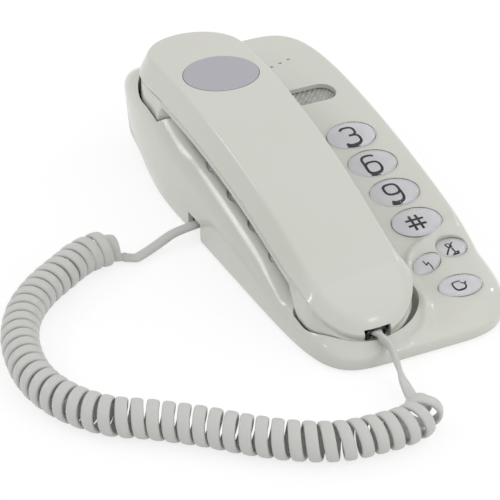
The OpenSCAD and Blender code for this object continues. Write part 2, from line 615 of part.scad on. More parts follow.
// Lead from the curls to the handset's plug
handset_lead = [[-21.6, -117, 5.2], [-20.4, -110, 8], [-19.2, -104, 9.6], [-18.6, -100, 10]];
lead_z = 2.2;                                // height of the curls' straight end at the base's lead
coil_end_z = 3.4;                            // height of the one at the handset's lead
straight = 4;                                // length of those ends
ramp = 9;                                    // length over which the first curl opens
ring_per_curl = 8;
cord_sides = 6;
coil_r = (coil_d - cord_t) / 2;
function spline(p, i, t) = let (a = p[max(0, i - 1)], b = p[i], c = p[i + 1], d = p[min(len(p) - 1, i + 2)])
    0.5 * (2 * b + (c - a) * t + (2 * a - 5 * b + 4 * c - d) * t * t + (3 * b - a - 3 * c + d) * t * t * t);
path = concat([for (i = [0:len(coil_route) - 2], k = [0:7]) spline(coil_route, i, k / 8)],
              [coil_route[len(coil_route) - 1]]);
function travelled(p, i = 0, sum = 0) = i == len(p) - 1 ? [sum]
    : concat([sum], travelled(p, i + 1, sum + norm(p[i + 1] - p[i])));
miles = travelled(path);
coil_l = miles[len(miles) - 1];
path_x = [for (i = [0:len(path) - 1]) [miles[i], path[i][0]]];
path_y = [for (i = [0:len(path) - 1]) [miles[i], path[i][1]]];
function centre(s) = [lookup(s, path_x), lookup(s, path_y)];
function opened(s) = smooth((s - straight) / ramp) * smooth((coil_l - straight - s) / ramp);
function end_z(s) = s < coil_l / 2 ? lead_z : coil_end_z;
function heading(s) = let (d = centre(min(coil_l, s + 1.5)) - centre(max(0, s - 1.5))) d / norm(d);
function curl_turn(s) = 90 + 360 * curls * min(1, max(0, (s - straight) / (coil_l - 2 * straight)));
function radial(s) = let (h = heading(s), turn = curl_turn(s))
    [-h[1] * cos(turn), h[0] * cos(turn), sin(turn)];
function coil_point(s) = let (o = opened(s))
    [each centre(s), mix(end_z(s), coil_d / 2 + 0.1, o)] + coil_r * o * radial(s);
coil_rings = curls * ring_per_curl;
function station(i) = straight + i * (coil_l - 2 * straight) / coil_rings;
stations = concat([0], [for (i = [0:coil_rings]) station(i)], [coil_l]);
function unit(v) = v / norm(v);
function cord_ring(p, forward, up, sides) =
    let (side = unit(cross(forward, up)) * cord_w / 2, lift = unit(cross(side, forward)) * cord_t / 2)
    [for (k = [0:sides - 1]) let (a = k * 360 / sides) p + side * cos(a) + lift * sin(a)];
module tube(rings) {
    n = len(rings[0]);
    m = len(rings);
    polyhedron([for (r = rings) for (p = r) p], concat(
        [for (j = [0:m - 2], i = [0:n - 1]) let (a = j * n + i, b = j * n + (i + 1) % n)
            each [[a, b, b + n], [a, b + n, a + n]]],
        [for (i = [1:n - 2]) [0, i + 1, i]],
        [for (i = [1:n - 2]) [(m - 1) * n, (m - 1) * n + i, (m - 1) * n + i + 1]]), convexity = 10);
}
function coil_ring(i) = let (s = stations[i], last = len(stations) - 1,
    forward = coil_point(stations[min(last, i + 1)]) - coil_point(stations[max(0, i - 1)]))
    cord_ring(coil_point(s), i == 0 ? [each heading(0), 0] : i == last ? [each heading(coil_l), 0] : forward,
              i <= 1 || i >= last - 1 ? [0, 0, 1] : radial(s), cord_sides);
coil_ring_list = [for (i = [0:len(stations) - 1]) coil_ring(i)];
// Least gap between a ring and the rings one turn further on
self_gap = min([for (i = [2:3:len(coil_ring_list) - ring_per_curl - 3], k = [-1:1], a = coil_ring_list[i],
                b = coil_ring_list[i + ring_per_curl + k]) norm(a - b)]);
echo(coil_length = coil_l, curls = curls, least_gap_to_itself = self_gap);
module cord_coil() {
    color([0.78, 0.78, 0.77]) tube(coil_ring_list);
}
function lead_rings(points, first_dir, last_dir) = [for (i = [0:len(points) - 1])
    cord_ring(points[i], i == 0 ? first_dir : i == len(points) - 1 ? last_dir : points[i + 1] - points[i - 1],
              [0, 0, 1], 8)];
module cord_lead_base() {
    start = [-base_w / 2 + plug_back - plug_tail, base_jack_y, base_jack_z];
    end = [each centre(0), lead_z];
    color([0.78, 0.78, 0.77]) tube(lead_rings(concat([start, start - [4, 0, 0]], base_lead, [end]),
        [-1, 0, 0], [each heading(0), 0]));
}
module cord_lead_handset() {
    end = [-handset_offset, handset_y0 + handset_plug_back - plug_tail, handset_jack_z];
    start = [each centre(coil_l), coil_end_z] + seat * [each heading(coil_l), 0];
    color([0.78, 0.78, 0.77]) tube(lead_rings(concat([start], handset_lead, [end - [0, 4, 0], end]),
        [each heading(coil_l), 0], [0, 1, 0]));
}

// ---------- everything by name ----------
key_names = ["1", "2", "3", "4", "5", "6", "7", "8", "9", "star", "0", "hash"];
small_names = ["flash", "mute", "redial"];
small_keys = [flash_key, mute_key, redial_key];
for (i = [0:11]) {
    row = floor(i / 3);
    at_key(i % 3, row) key_cap(key_w, key_h);
    at_key(i % 3, row) key_label(key_w, key_h);
}
for (i = [0:2]) {
    k = small_keys[i];
    at_small(k) key_cap(k[2], k[3]);
    at_small(k) key_label(k[2], k[3]);
}
base_top_shell();
base_back_cover();
base_feet();
base_screws();
keypad_mat();
function_mat();
main_board();
function_board();
hook_plunger();
hook_spring();
hook_switch();
ringer_disc();
lamp_lens();
base_cord_jack();
line_jack();
ringer_switch();
handset_outer_shell();
handset_inner_shell();
badge_plate();
receiver();
microphone();
handset_weight();
handset_jack();
handset_screws();
cord_plug_base();
cord_lead_base();
cord_coil();
cord_lead_handset();
cord_plug_handset();
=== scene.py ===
# %% [markdown]
# # A slimline wall telephone
#
# The telephone lies on its back. Its bodies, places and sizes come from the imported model, which this
# script loads as a fixed frame. Everything here is about looks: fine shells, clear key caps over
# printed inserts, a curly cord of the right length, and a finish for every surface.
#
# Numbers are millimetres until a mesh is made, because that is how a moulding is drawn.

# %% Load the fixed frame
import math

import bmesh
import bpy
from mathutils import Matrix, Vector


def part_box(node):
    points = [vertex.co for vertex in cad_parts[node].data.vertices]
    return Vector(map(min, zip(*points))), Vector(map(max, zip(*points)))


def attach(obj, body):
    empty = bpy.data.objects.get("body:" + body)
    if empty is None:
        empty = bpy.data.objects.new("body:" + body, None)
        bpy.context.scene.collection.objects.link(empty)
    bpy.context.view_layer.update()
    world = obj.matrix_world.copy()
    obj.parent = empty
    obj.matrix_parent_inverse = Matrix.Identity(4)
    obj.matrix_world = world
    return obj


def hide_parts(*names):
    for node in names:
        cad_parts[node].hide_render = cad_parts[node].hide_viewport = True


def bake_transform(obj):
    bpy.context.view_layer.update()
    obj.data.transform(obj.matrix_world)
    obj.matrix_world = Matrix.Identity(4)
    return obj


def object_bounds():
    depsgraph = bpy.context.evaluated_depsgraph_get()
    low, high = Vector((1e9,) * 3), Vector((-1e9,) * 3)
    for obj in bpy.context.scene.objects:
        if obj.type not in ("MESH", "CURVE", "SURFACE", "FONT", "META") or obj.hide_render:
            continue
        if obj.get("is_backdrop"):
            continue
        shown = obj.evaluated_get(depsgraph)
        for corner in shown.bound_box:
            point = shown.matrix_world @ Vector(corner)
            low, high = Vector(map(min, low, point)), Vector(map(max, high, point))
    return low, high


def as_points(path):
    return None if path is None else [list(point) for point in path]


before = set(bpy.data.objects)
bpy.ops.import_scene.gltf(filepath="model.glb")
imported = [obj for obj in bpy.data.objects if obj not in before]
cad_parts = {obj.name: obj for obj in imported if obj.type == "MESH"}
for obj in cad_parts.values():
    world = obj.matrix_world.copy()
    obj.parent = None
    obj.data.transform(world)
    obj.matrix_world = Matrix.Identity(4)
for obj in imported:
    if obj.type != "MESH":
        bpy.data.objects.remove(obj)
cad_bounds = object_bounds()
MM = 0.001


def linked(name, data):
    """A new object in the scene, at the origin."""
    thing = bpy.data.objects.new(name, data)
    bpy.context.scene.collection.objects.link(thing)
    return thing


# %% [markdown]
# ## Camera
#
# A telephone is shown well by a long lens a metre away, which keeps its sides nearly parallel. The
# camera could be placed by eye, but two angles, a distance and the point it looks at are easier to
# read and to change.

# %% The camera
azimuth, elevation = math.radians(-25.94), math.radians(32.79)
camera_distance = 944.8
looks_at = Vector((-37.78, -22.72, 11.85))
towards_camera = Vector((math.sin(azimuth) * math.cos(elevation),
                         -math.cos(azimuth) * math.cos(elevation), math.sin(elevation)))
camera = linked("camera", bpy.data.cameras.new("camera"))
camera.data.lens = 175.28
camera.data.sensor_width = 36
camera.location = (looks_at + towards_camera * camera_distance) * MM
camera.rotation_euler = (-towards_camera).to_track_quat("-Z", "Y").to_euler()
bpy.context.scene.camera = camera
bpy.context.scene.view_settings.view_transform = "Standard"
print("camera at", [round(v, 3) for v in camera.location])

# %% [markdown]
# ## Shader maths in Python
#
# A node tree is hard to read when it is wired by hand. One small class wraps a socket, so a sum or a
# product of sockets is written as an expression, and one method adds any other node.


# %% A socket that can be used in expressions
class Signal:
    """A node's output socket, on which sums and products add Math nodes."""

    def __init__(self, finish, socket):
        self.finish, self.socket = finish, socket

    def _math(self, operation, a, b):
        return self.finish.node("ShaderNodeMath", {"operation": operation}, {0: a, 1: b})

    def __add__(self, other):
        return self._math("ADD", self, other)

    def __sub__(self, other):
        return self._math("SUBTRACT", self, other)

    def __rsub__(self, other):
        return self._math("SUBTRACT", other, self)

    def __mul__(self, other):
        return self._math("MULTIPLY", self, other)

    def above(self, other):
        return self._math("GREATER_THAN", self, other)

    def fold(self, width):
        return self._math("PINGPONG", self, width)

    __radd__ = __add__
    __rmul__ = __mul__


class Finish:
    """A material under construction, with a Principled shader."""

    def __init__(self, name, color, roughness, **constants):
        self.material = bpy.data.materials.new(name)
        self.material.use_nodes = True
        self.tree = self.material.node_tree
        self.shader = self.tree.nodes["Principled BSDF"]
        self.place = Signal(self, self.tree.nodes.new("ShaderNodeTexCoord").outputs["Object"])
        self.set("Base Color", (*color, 1))
        self.set("Roughness", roughness)
        for socket, value in constants.items():
            self.set(socket.replace("_", " "), value)

    def set(self, socket, value):
        if isinstance(value, Signal):
            self.tree.links.new(value.socket, self.shader.inputs[socket])
        else:
            self.shader.inputs[socket].default_value = value

    def node(self, kind, settings, inputs, output=0):
        made = self.tree.nodes.new(kind)
        for name, value in settings.items():
            setattr(made, name, value)
        for key, value in inputs.items():
            if isinstance(value, Signal):
                self.tree.links.new(value.socket, made.inputs[key])
            else:
                made.inputs[key].default_value = value
        return Signal(self, made.outputs[output])

    def noise(self, scale, detail=2.0, at=None):
        return self.node("ShaderNodeTexNoise", {},
                         {"Vector": at or self.place, "Scale": scale, "Detail": detail})

    def stretched(self, x, y, z):
        return self.node("ShaderNodeMapping", {}, {"Vector": self.place, "Scale": (x, y, z)})

    def axes(self):
        split = self.node("ShaderNodeSeparateXYZ", {}, {0: self.place})
        return [Signal(self, out) for out in split.socket.node.outputs]

    def mixed(self, factor, a, b):
        return self.node("ShaderNodeMix", {"data_type": "RGBA"},
                         {0: factor, 6: (*a, 1) if isinstance(a, tuple) else a,
                          7: (*b, 1) if isinstance(b, tuple) else b}, output=2)

    def bumped(self, height, distance, strength=1.0):
        self.set("Normal", self.node("ShaderNodeBump", {}, {"Strength": strength, "Distance": distance,
                                                           "Height": height}))


def srgb(*levels):
    """The linear colour of three screen levels from 0 to 255."""
    return tuple(((v / 255 + 0.055) / 1.055) ** 2.4 if v > 10 else v / 255 / 12.92 for v in levels)


# %% [markdown]
# ## Moulded plastics
#
# The casing is a glossy styrene moulding. Up close its colour drifts a little, dust dulls it in
# patches, and the polish of the mould leaves a very faint waviness. Three noises at three scales give
# all of that: one tints the colour, one moves the roughness, and a fine one drives a bump of a few
# hundredths of a millimetre.


# %% Plastic finishes
def moulded(name, color, roughness, drift=0.035, wave=0.00001, **constants):
    finish = Finish(name, color, roughness, **constants)
    patches = finish.noise(22, 3)
    aged = tuple(min(1, c * (1 - drift * (1 + 0.8 * i))) for i, c in enumerate(color))
    finish.set("Base Color", finish.mixed(patches, color, aged))
    dust = finish.noise(160, 4)
    finish.set("Roughness", dust * 0.12 + (roughness - 0.06))
    finish.bumped(finish.noise(700, 2) + 0.5 * finish.noise(90, 2), wave)
    return finish.material


shell_white = moulded("shell_white", srgb(207, 209, 202), 0.16, Specular_IOR_Level=0.5)
cover_white = moulded("cover_white", srgb(196, 198, 191), 0.42, wave=0.00003)
cord_grey = moulded("cord_grey", srgb(199, 200, 198), 0.38, drift=0.03, wave=0.00002)
dark_socket = moulded("dark_socket", srgb(62, 63, 60), 0.4)
switch_black = moulded("switch_black", srgb(48, 48, 50), 0.35)
rubber_grey = moulded("rubber_grey", srgb(84, 84, 86), 0.8, wave=0.00006)
mat_rubber = moulded("mat_rubber", srgb(186, 186, 190), 0.7)
print("plastics made")

# %% [markdown]
# ## Clear plastics
#
# The key caps and the cord plugs are clear. A glass shader bends the print under the cap as the real
# one does. The caps are polished, so only a trace of roughness is left on them, varied by fine
# scratches.


# %% Clear finishes
def clear(name, tint, roughness):
    finish = Finish(name, tint, roughness, Transmission_Weight=1.0, IOR=1.46)
    scratches = finish.noise(1.0, 2, at=finish.stretched(300, 2600, 300))
    finish.set("Roughness", scratches * 0.03 + roughness)
    return finish.material


clear_cap = clear("clear_cap", (0.985, 0.985, 0.99), 0.01)
clear_plug = clear("clear_plug", (0.86, 0.88, 0.9), 0.12)

# %% [markdown]
# ## Printed inserts, ink and metals
#
# The inserts under the caps are silver-lilac with a fine metallic fleck; ink lies on them as its own
# thin piece. The badge is a brushed plate: a noise that is stretched along the brushing direction
# drives its roughness and bump. Steel, gilt contacts and circuit boards follow the same pattern.


# %% Metal, ink and board finishes
def flecked(name, color, roughness, metallic, fleck):
    finish = Finish(name, color, roughness, Metallic=metallic)
    grains = finish.noise(2600, 2)
    finish.set("Base Color", finish.mixed(grains, tuple(c * (1 - fleck) for c in color),
                                          tuple(min(1, c * (1 + fleck)) for c in color)))
    finish.set("Roughness", grains * 0.15 + (roughness - 0.07))
    return finish.material


def brushed(name, color, roughness, metallic=0.9, along=(40, 3000, 3000)):
    finish = Finish(name, color, roughness, Metallic=metallic)
    hairs = finish.noise(1.0, 3, at=finish.stretched(*along))
    finish.set("Base Color", finish.mixed(hairs, tuple(c * 0.88 for c in color), color))
    finish.set("Roughness", hairs * 0.25 + (roughness - 0.12))
    finish.bumped(hairs, 0.00001)
    return finish.material


insert_silver = flecked("insert_silver", srgb(250, 249, 254), 0.45, 0.0, 0.03)
ink_black = flecked("ink_black", srgb(14, 14, 16), 0.6, 0.0, 0.2)
badge_silver = brushed("badge_silver", srgb(186, 185, 192), 0.38, 0.5)
steel = brushed("steel", srgb(170, 170, 172), 0.35, 1.0)
brass = brushed("brass", srgb(206, 170, 92), 0.3, 1.0)
gilt = flecked("gilt", srgb(222, 184, 104), 0.25, 1.0, 0.04)


def circuit_board(name):
    finish = Finish(name, srgb(44, 92, 58), 0.4)
    x, y, _ = finish.axes()
    lines = (x * 420).fold(1.0).above(0.82) + (y * 300).fold(1.0).above(0.86)
    tracks = lines * finish.noise(70, 1).above(0.5)
    finish.set("Base Color", finish.mixed(tracks, srgb(40, 84, 52), srgb(86, 132, 74)))
    finish.bumped(tracks, 0.00004)
    return finish.material


board_green = circuit_board("board_green")


def lens_material():
    finish = Finish("lens_grey", srgb(150, 152, 146), 0.16)
    smoke = finish.noise(420, 2)
    finish.set("Base Color", finish.mixed(smoke, srgb(140, 142, 136), srgb(190, 192, 186)))
    return finish.material


lens_grey = lens_material()
print("materials:", len(bpy.data.materials))

# %% [markdown]
# ## The telephone's curves
#
# Every moulded surface here follows a rule: the deck is a gentle arc, the rim is a quarter round whose
# radius changes across the telephone, and the handset is a stadium with an arched top. The rules of
# the construction model are written out again, sampled much more finely, and a low ridge, a soft lip
# and a wider roll at the mouthpiece end are added to them.

# %% Sizes shared with the construction model
base_w, base_l, wall = 91.5, 202.0, 2.0
cover_z, island_z, deck_slope, deck_foot_y, deck_curve = 0.8, 12.2, 0.26, -60.0, 0.0008
toe_drop, toe_y, toe_l = 4.2, -84.5, 13.5
cheek_h, cheek_y, cheek_l = 6.5, 40.0, 40.0
rim_r, soft_rim_r, mouth_rim_r, sharp_r = 3.6, 9.0, 7.5, 0.4
tuck, corner, near_corner, bowed, mouth_narrow = 5.0, 6.5, 4.7, 6.5, 1.1
handset_w, mouth_w, handset_l, handset_x, handset_y0 = 48.0, 44.0, 182.0, -19.2, -93.4
handset_top_z, grip_t, ear_floor_z, mouth_floor_z, cradle_gap = 54.0, 15.5, 16.0, 5.6, 0.8
mouth_bow, peak_y, arch, end_fall, side_h, cup_r = 0.85, 50.0, 0.00164, 5.6, 12.0, 6.0
ear_step_y, mouth_step_y, step_l, ear_round = 38.0, -60.0, 11.0, 9.0
mouth_y = handset_y0 + mouth_w / 2 * mouth_bow
ear_y = handset_y0 + handset_l - handset_w / 2


def smooth(t):
    u = min(1.0, max(0.0, t))
    return u * u * (3 - 2 * u)


def mix(a, b, t):
    return a + (b - a) * t


def catmull(points, per_span):
    """Points on a smooth curve through the given ones."""
    out = []
    for i in range(len(points) - 1):
        a, b, c, d = (Vector(points[max(0, min(len(points) - 1, j))]) for j in (i - 1, i, i + 1, i + 2))
        for k in range(per_span):
            t = k / per_span
            out.append(0.5 * (2 * b + (c - a) * t + (2 * a - 5 * b + 4 * c - d) * t * t
                              + (3 * b - a - 3 * c + d) * t ** 3))
    return out + [Vector(points[-1])]


# %% The deck, its rim, and the ridge round the three small keys
ridge_line = catmull([(46, -41), (38, -44.5), (29, -49), (17, -54), (10, -62.5), (6.6, -73), (5.4, -84),
                      (0, -94), (-8, -98.5)], 6)
ridge_h, ridge_w = 1.6, 1.9
lip_h, lip_inset, lip_w = 1.2, 8.2, 3.4


def deck_z(y):
    t = max(0.0, y - deck_foot_y)
    return island_z + deck_slope * t - deck_curve * t * t - toe_drop * smooth((toe_y - y) / toe_l)


def rim_z(x, y, start_y=cheek_y - 16):
    """Height of the deck with its cheek, which rises on the left beside the earpiece."""
    along = smooth((y - start_y) / cheek_l) * (1 - 0.5 * smooth((y - 82) / 18))
    return deck_z(y) + cheek_h * smooth((-x - 24) / 16) * along


def inner_rim_r(x, y):
    r = mix(soft_rim_r, rim_r, smooth((x + 36) / 72)) * mix(0.42, 1, smooth((y + 95) / 50))
    return max(sharp_r, r - wall)


def rim_drop(inset, r):
    return r - math.sqrt(max(0.0, r * r - max(0.0, r - inset) ** 2))


def rim_roll(x, y, inset):
    """Drop of the outer rim: a roll that gets wider and flatter towards the mouthpiece end."""
    along = smooth((y + 95) / 60)
    wide = mix(mouth_rim_r, mix(soft_rim_r, rim_r, smooth((x + 36) / 72) * along), along)
    high = min(wide, 0.5 * rim_z(x, y))
    return rim_drop(min(inset, wide), wide) * high / wide


def ridge(x, y):
    if x < -14 or y > -34:
        return 0.0
    near = min((p.x - x) ** 2 + (p.y - y) ** 2 for p in ridge_line)
    return ridge_h * math.exp(-near / ridge_w ** 2)


def lip(x, y, inset):
    """The soft roll along the left edge, which leaves a shallow trough beside the handset."""
    side = smooth((-x - 24) / 14) * (1 - smooth((-y - 30) / 60))
    return lip_h * side * math.exp(-((inset - lip_inset) / lip_w) ** 2)


def top_z(x, y, inset):
    return rim_z(x, y) - rim_roll(x, y, inset) + ridge(x, y) * smooth(inset / 4) + lip(x, y, inset)


def base_ring(steps, inset, tucked=0.0):
    """Outline of the base, from its near tip round through +X, with more points at the corners."""
    ring = []
    for k in range(steps):
        turn = 270 + k * 360 / steps
        a = math.radians(turn + bowed * math.sin(math.radians(4 * turn)))
        c, s = math.cos(a), math.sin(a)
        power = mix(corner, near_corner, smooth(2 * c) * smooth(-2 * s))
        r = (abs(c) ** power + abs(s) ** power) ** (1 / power)
        y = (base_l / 2 - inset) * s / r
        d = inset + tucked * smooth((y - 35) / 60) + mouth_narrow * smooth((40 - y) / 130)
        ring.append((((base_w / 2 - d) * c / r), (base_l / 2 - d) * s / r))
    return ring


def raised(outline, height):
    """The outline's points at a height: a number, or a function of x and y."""
    return [(x, y, height(x, y) if callable(height) else height) for x, y in outline]


# %% The handset
def handset_top(y):
    return handset_top_z - arch * (y - peak_y) ** 2 - end_fall * smooth((-y - 73) / 24)


def side_top(y):
    return side_h - 5 * smooth((-y - 50) / 35)


def parting_z(y):
    return handset_top(y) - side_top(y)


def handset_bottom(y, grow=0.0, aside=0.0):
    """Underside of the handset; the earpiece cup starts later towards its sides, so it ends round."""
    grip = handset_top(y) - grip_t
    ear = smooth((y + grow - ear_step_y - ear_round * smooth((aside - 9) / 15)) / step_l)
    mouth = smooth((-y + grow + mouth_step_y) / step_l)
    return mix(mix(grip, ear_floor_z, ear), mouth_floor_z, mouth) - grow


crest_inset, crest_soft, top_dome, side_rise = 3.7, 1.7, 1.3, 3.0


def crown_z(inset, y):
    """A nearly flat top and a sloped side that meet in a tight, rounded crest."""
    q = 1 - min(inset, handset_w / 2) / (handset_w / 2)
    top_drop = top_dome * q * q
    side_drop = mix(side_top(y) - side_rise, top_dome * 0.7, inset / crest_inset)
    near = max(0.0, crest_soft - abs(top_drop - side_drop)) / crest_soft
    return handset_top(y) - max(top_drop, side_drop) - near * near * crest_soft / 4


def stadium(inset, arc_steps, side_step):
    """Outline of the handset, from the tip of its mouthpiece end and round through +X."""
    m, e = mouth_w / 2 - inset, handset_w / 2 - inset

    def mouth(angle):
        return (m * math.cos(angle) + handset_x, mouth_y + m * mouth_bow * math.sin(angle))

    def ear(angle):
        return (e * math.cos(angle) + handset_x, ear_y + e * math.sin(angle))

    count = int((ear_y - mouth_y) / side_step)
    ys = [mouth_y + (ear_y - mouth_y) * k / count for k in range(1, count)]
    wide = [mix(m, e, smooth((y - mouth_y) / (ear_y - mouth_y))) for y in ys]
    quarter = arc_steps // 2
    return ([mouth(math.radians(270 + i * 180 / arc_steps)) for i in range(quarter + 1)]
            + [(handset_x + w, y) for w, y in zip(wide, ys)]
            + [ear(math.radians(i * 180 / arc_steps)) for i in range(arc_steps + 1)]
            + [(handset_x - w, y) for w, y in zip(reversed(wide), reversed(ys))]
            + [mouth(math.radians(180 + i * 180 / arc_steps)) for i in range(quarter)])


def cup_radius(x, y):
    return min(cup_r, parting_z(y) - handset_bottom(y, 0, abs(x - handset_x)) - 0.8)


def floor_ring(part, skin_t, steps, grow=0.0):
    """A ring of the rounded underside: part 0 is the outer edge and part 1 the end of its rounding."""
    ring = []
    for x, y in stadium(cup_r * part + skin_t - grow, *steps):
        r, e = cup_radius(x, y), max(0.0, 1 - part)
        z = handset_bottom(y, grow, abs(x - handset_x)) + r * (1 - math.sqrt(1 - e * e)) + skin_t
        ring.append((x, y, min(z, parting_z(y) - 0.3)))
    return ring


print("deck rises from", round(deck_z(-60), 1), "to", round(deck_z(100), 1), "mm")


# %% [markdown]
# ## From rings to closed solids
#
# A stack of rings is the simplest exact way to write such a moulding. The first and the last ring are
# closed by a strip of faces. Openings are cut with the Boolean modifier, whose result is read back as
# a plain mesh, so that no modifier is left on a finished piece.


# %% Mesh helpers
def mesh_of(name, points, faces):
    """A piece with its doubles merged and its normals outwards."""
    mesh = bpy.data.meshes.new(name)
    mesh.from_pydata([Vector(p) * MM for p in points], [], faces)
    build = bmesh.new()
    build.from_mesh(mesh)
    bmesh.ops.remove_doubles(build, verts=build.verts, dist=1e-7)
    bmesh.ops.recalc_face_normals(build, faces=build.faces)
    build.to_mesh(mesh)
    build.free()
    return linked(name, mesh)


def bands(n, rings, start=0):
    """Quads between neighbouring rings of n points."""
    return [(start + j * n + i, start + j * n + (i + 1) % n, start + (j + 1) * n + (i + 1) % n,
             start + (j + 1) * n + i) for j in range(rings - 1) for i in range(n)]


def skin(rings):
    """Points and faces of the closed surface over rings that start at a tip and are mirror images."""
    n, m = len(rings[0]), len(rings)
    faces = bands(n, m)
    for start, flip in ((0, True), ((m - 1) * n, False)):
        strip = [(0, 1, n - 1)] + [(k, k + 1, n - k - 1, n - k) for k in range(1, n // 2 - 1)]
        strip.append((n // 2 - 1, n // 2, n // 2 + 1))
        faces += [tuple(start + i for i in (reversed(f) if flip else f)) for f in strip]
    return [p for ring in rings for p in ring], faces


def shaded(thing, angle=35):
    for polygon in thing.data.polygons:
        polygon.use_smooth = True
    thing.data.set_sharp_from_angle(angle=math.radians(angle))
    return thing


def settle(thing):
    """Apply the modifiers: the evaluated result becomes the piece's plain mesh."""
    graph = bpy.context.evaluated_depsgraph_get()
    mesh = bpy.data.meshes.new_from_object(thing.evaluated_get(graph))
    thing.modifiers.clear()
    thing.data = mesh
    return thing


def carved(thing, cutters, operation="DIFFERENCE"):
    for cutter in cutters:
        cut = thing.modifiers.new("cut", "BOOLEAN")
        cut.operation = operation
        cut.solver = "MANIFOLD"
        cut.object = cutter
    settle(thing)
    for cutter in cutters:
        bpy.data.objects.remove(cutter)
    return thing


def solid(name, rings):
    return mesh_of(name, *skin(rings))


def block(name, low, high):
    (x0, y0, z0), (x1, y1, z1) = low, high
    corners = [(x0, y0), (x1, y0), (x1, y1), (x0, y1)]
    points = [(x, y, z) for z in (z0, z1) for x, y in corners]
    return mesh_of(name, points, [(3, 2, 1, 0), (4, 5, 6, 7)] + bands(4, 2))


def lathe(name, profile, centre, steps):
    """A turned solid: profile lists (radius, height) from the top of its axis to the bottom."""
    x, y = centre
    turns = [k * math.tau / steps for k in range(steps)]
    points = [(x + r * math.cos(a), y + r * math.sin(a), z) for r, z in profile for a in turns]
    last = (len(profile) - 1) * steps
    faces = bands(steps, len(profile))
    faces += [tuple(range(steps)), tuple(last + i for i in range(steps))]
    return mesh_of(name, points, faces)


def made(thing, material, body, slot, *replaced):
    thing.data.materials.clear()
    thing.data.materials.append(material)
    for polygon in thing.data.polygons:
        polygon.material_index = 0
    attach(thing, body)
    if replaced:
        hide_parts(*replaced)
    print(f"{thing.name}: {len(thing.data.polygons)} faces on {body}")
    return thing


# %% [markdown]
# ## The curly cord
#
# A curly cord is one flat cord that was wound on a mandrel while warm. Its route on the table is a
# list of given points; the curls are a helix round that route. The cord is swept with
# Geometry Nodes: a line of points carries the direction that the flat side faces, and Curve to Mesh
# lays a rounded flat section along it. The cord belongs to the base at one end and to the handset at
# the other; here it is made as one piece.

# %% The cord's route
coil_d, cord_w, cord_t, curls = 14.6, 4.6, 2.2, 48
coil_route = [(-74, 5), (-83, 9.5), (-95, 8), (-107, 1), (-120, -8), (-131, -20), (-139, -37), (-142, -58),
              (-138, -76), (-128, -91), (-114, -101), (-100, -112), (-87, -124), (-74, -134), (-60, -141),
              (-46, -143), (-35, -143), (-27, -140), (-23.5, -132), (-22.5, -125)]
base_lead = [(-41.85, 12, 5.8), (-45.85, 12, 5.8), (-55, 11.6, 4.6), (-62, 9.6, 3.2), (-68, 7.4, 2.4)]
handset_lead = [(-21.6, -117, 5.2), (-20.4, -110, 8), (-19.2, -104, 9.6), (-18.6, -100, 10),
                (-19.2, -95.4, 10.2), (-19.2, -91.4, 10.2)]
lead_z, coil_end_z, straight, ramp = 2.2, 3.4, 4.0, 9.0
coil_r = (coil_d - cord_t) / 2
twisted = math.radians(85)
route = catmull(coil_route, 12)
miles = [0.0]
for before, after in zip(route, route[1:]):
    miles.append(miles[-1] + (after - before).length)
coil_l = miles[-1]


def on_route(s):
    s = min(max(s, 0.0), coil_l)
    i = max(j for j in range(len(miles) - 1) if miles[j] <= s)
    return route[i].lerp(route[i + 1], (s - miles[i]) / (miles[i + 1] - miles[i]))


def heading(s):
    return (on_route(s + 1.5) - on_route(s - 1.5)).normalized()


def curl_point(s):
    """Centre of the cord at a distance along the route, and the way its flat side faces."""
    opened = smooth((s - straight) / ramp) * smooth((coil_l - straight - s) / ramp)
    h, c = heading(s), on_route(s)
    share = min(1, max(0, (s - straight) / (coil_l - 2 * straight)))
    turn = math.radians(90 + 360 * curls * share)
    r = coil_r * opened
    z = mix(lead_z if s < coil_l / 2 else coil_end_z, coil_d / 2 + 0.1, opened)
    out = Vector((-h.y * math.cos(turn), h.x * math.cos(turn), math.sin(turn)))
    facing = up.lerp(out, smooth(opened * 3)) if out.dot(up) > -0.2 or opened > 0.05 else up
    return Vector((c.x, c.y, z)) + out * r, facing.normalized()


per_curl, per_span = 28, 6
up = Vector((0, 0, 1))
curled = [k / (curls * per_curl) for k in range(curls * per_curl + 1)]
stations = [straight * k / 4 for k in range(4)]
stations += [straight + (coil_l - 2 * straight) * share for share in curled]
stations += [coil_l - straight * k / 4 for k in (3, 2, 1)]
centres = [(p, up) for p in catmull(base_lead + [(*coil_route[0], lead_z)], per_span)[:-1]]
centres += [curl_point(s) for s in stations]
lead_points = catmull([(*coil_route[-1], coil_end_z)] + handset_lead, per_span)
for i, p in enumerate(lead_points):
    twist = twisted * smooth(i / 14) * smooth((len(lead_points) - 1 - i) / 6)
    centres.append((p, Vector((math.sin(twist), 0, math.cos(twist)))))
cord_path = [tuple(p * MM) for p, _ in centres]
cord_length = sum((Vector(b) - Vector(a)).length for a, b in zip(cord_path, cord_path[1:]))
print("cord:", round(cord_length, 3), "m along its curls,", len(centres), "stations")


# %% A node tree that sweeps a flat section along the cord
def new_tree(name, **inputs):
    """A geometry tree with named inputs; returns it, its inputs and a function that adds a node."""
    tree = bpy.data.node_groups.new(name, "GeometryNodeTree")
    for label, kind in inputs.items():
        tree.interface.new_socket(label, in_out="INPUT", socket_type="NodeSocket" + kind)
    tree.interface.new_socket("Result", in_out="OUTPUT", socket_type="NodeSocketGeometry")

    def add(kind, links, output=0, **settings):
        node = tree.nodes.new(kind)
        for key, value in settings.items():
            setattr(node, key, value)
        for key, value in links.items():
            if isinstance(value, bpy.types.NodeSocket):
                tree.links.new(value, node.inputs[key])
            else:
                node.inputs[key].default_value = value
        return node.outputs[output] if node.outputs else node

    return tree, tree.nodes.new("NodeGroupInput").outputs, add


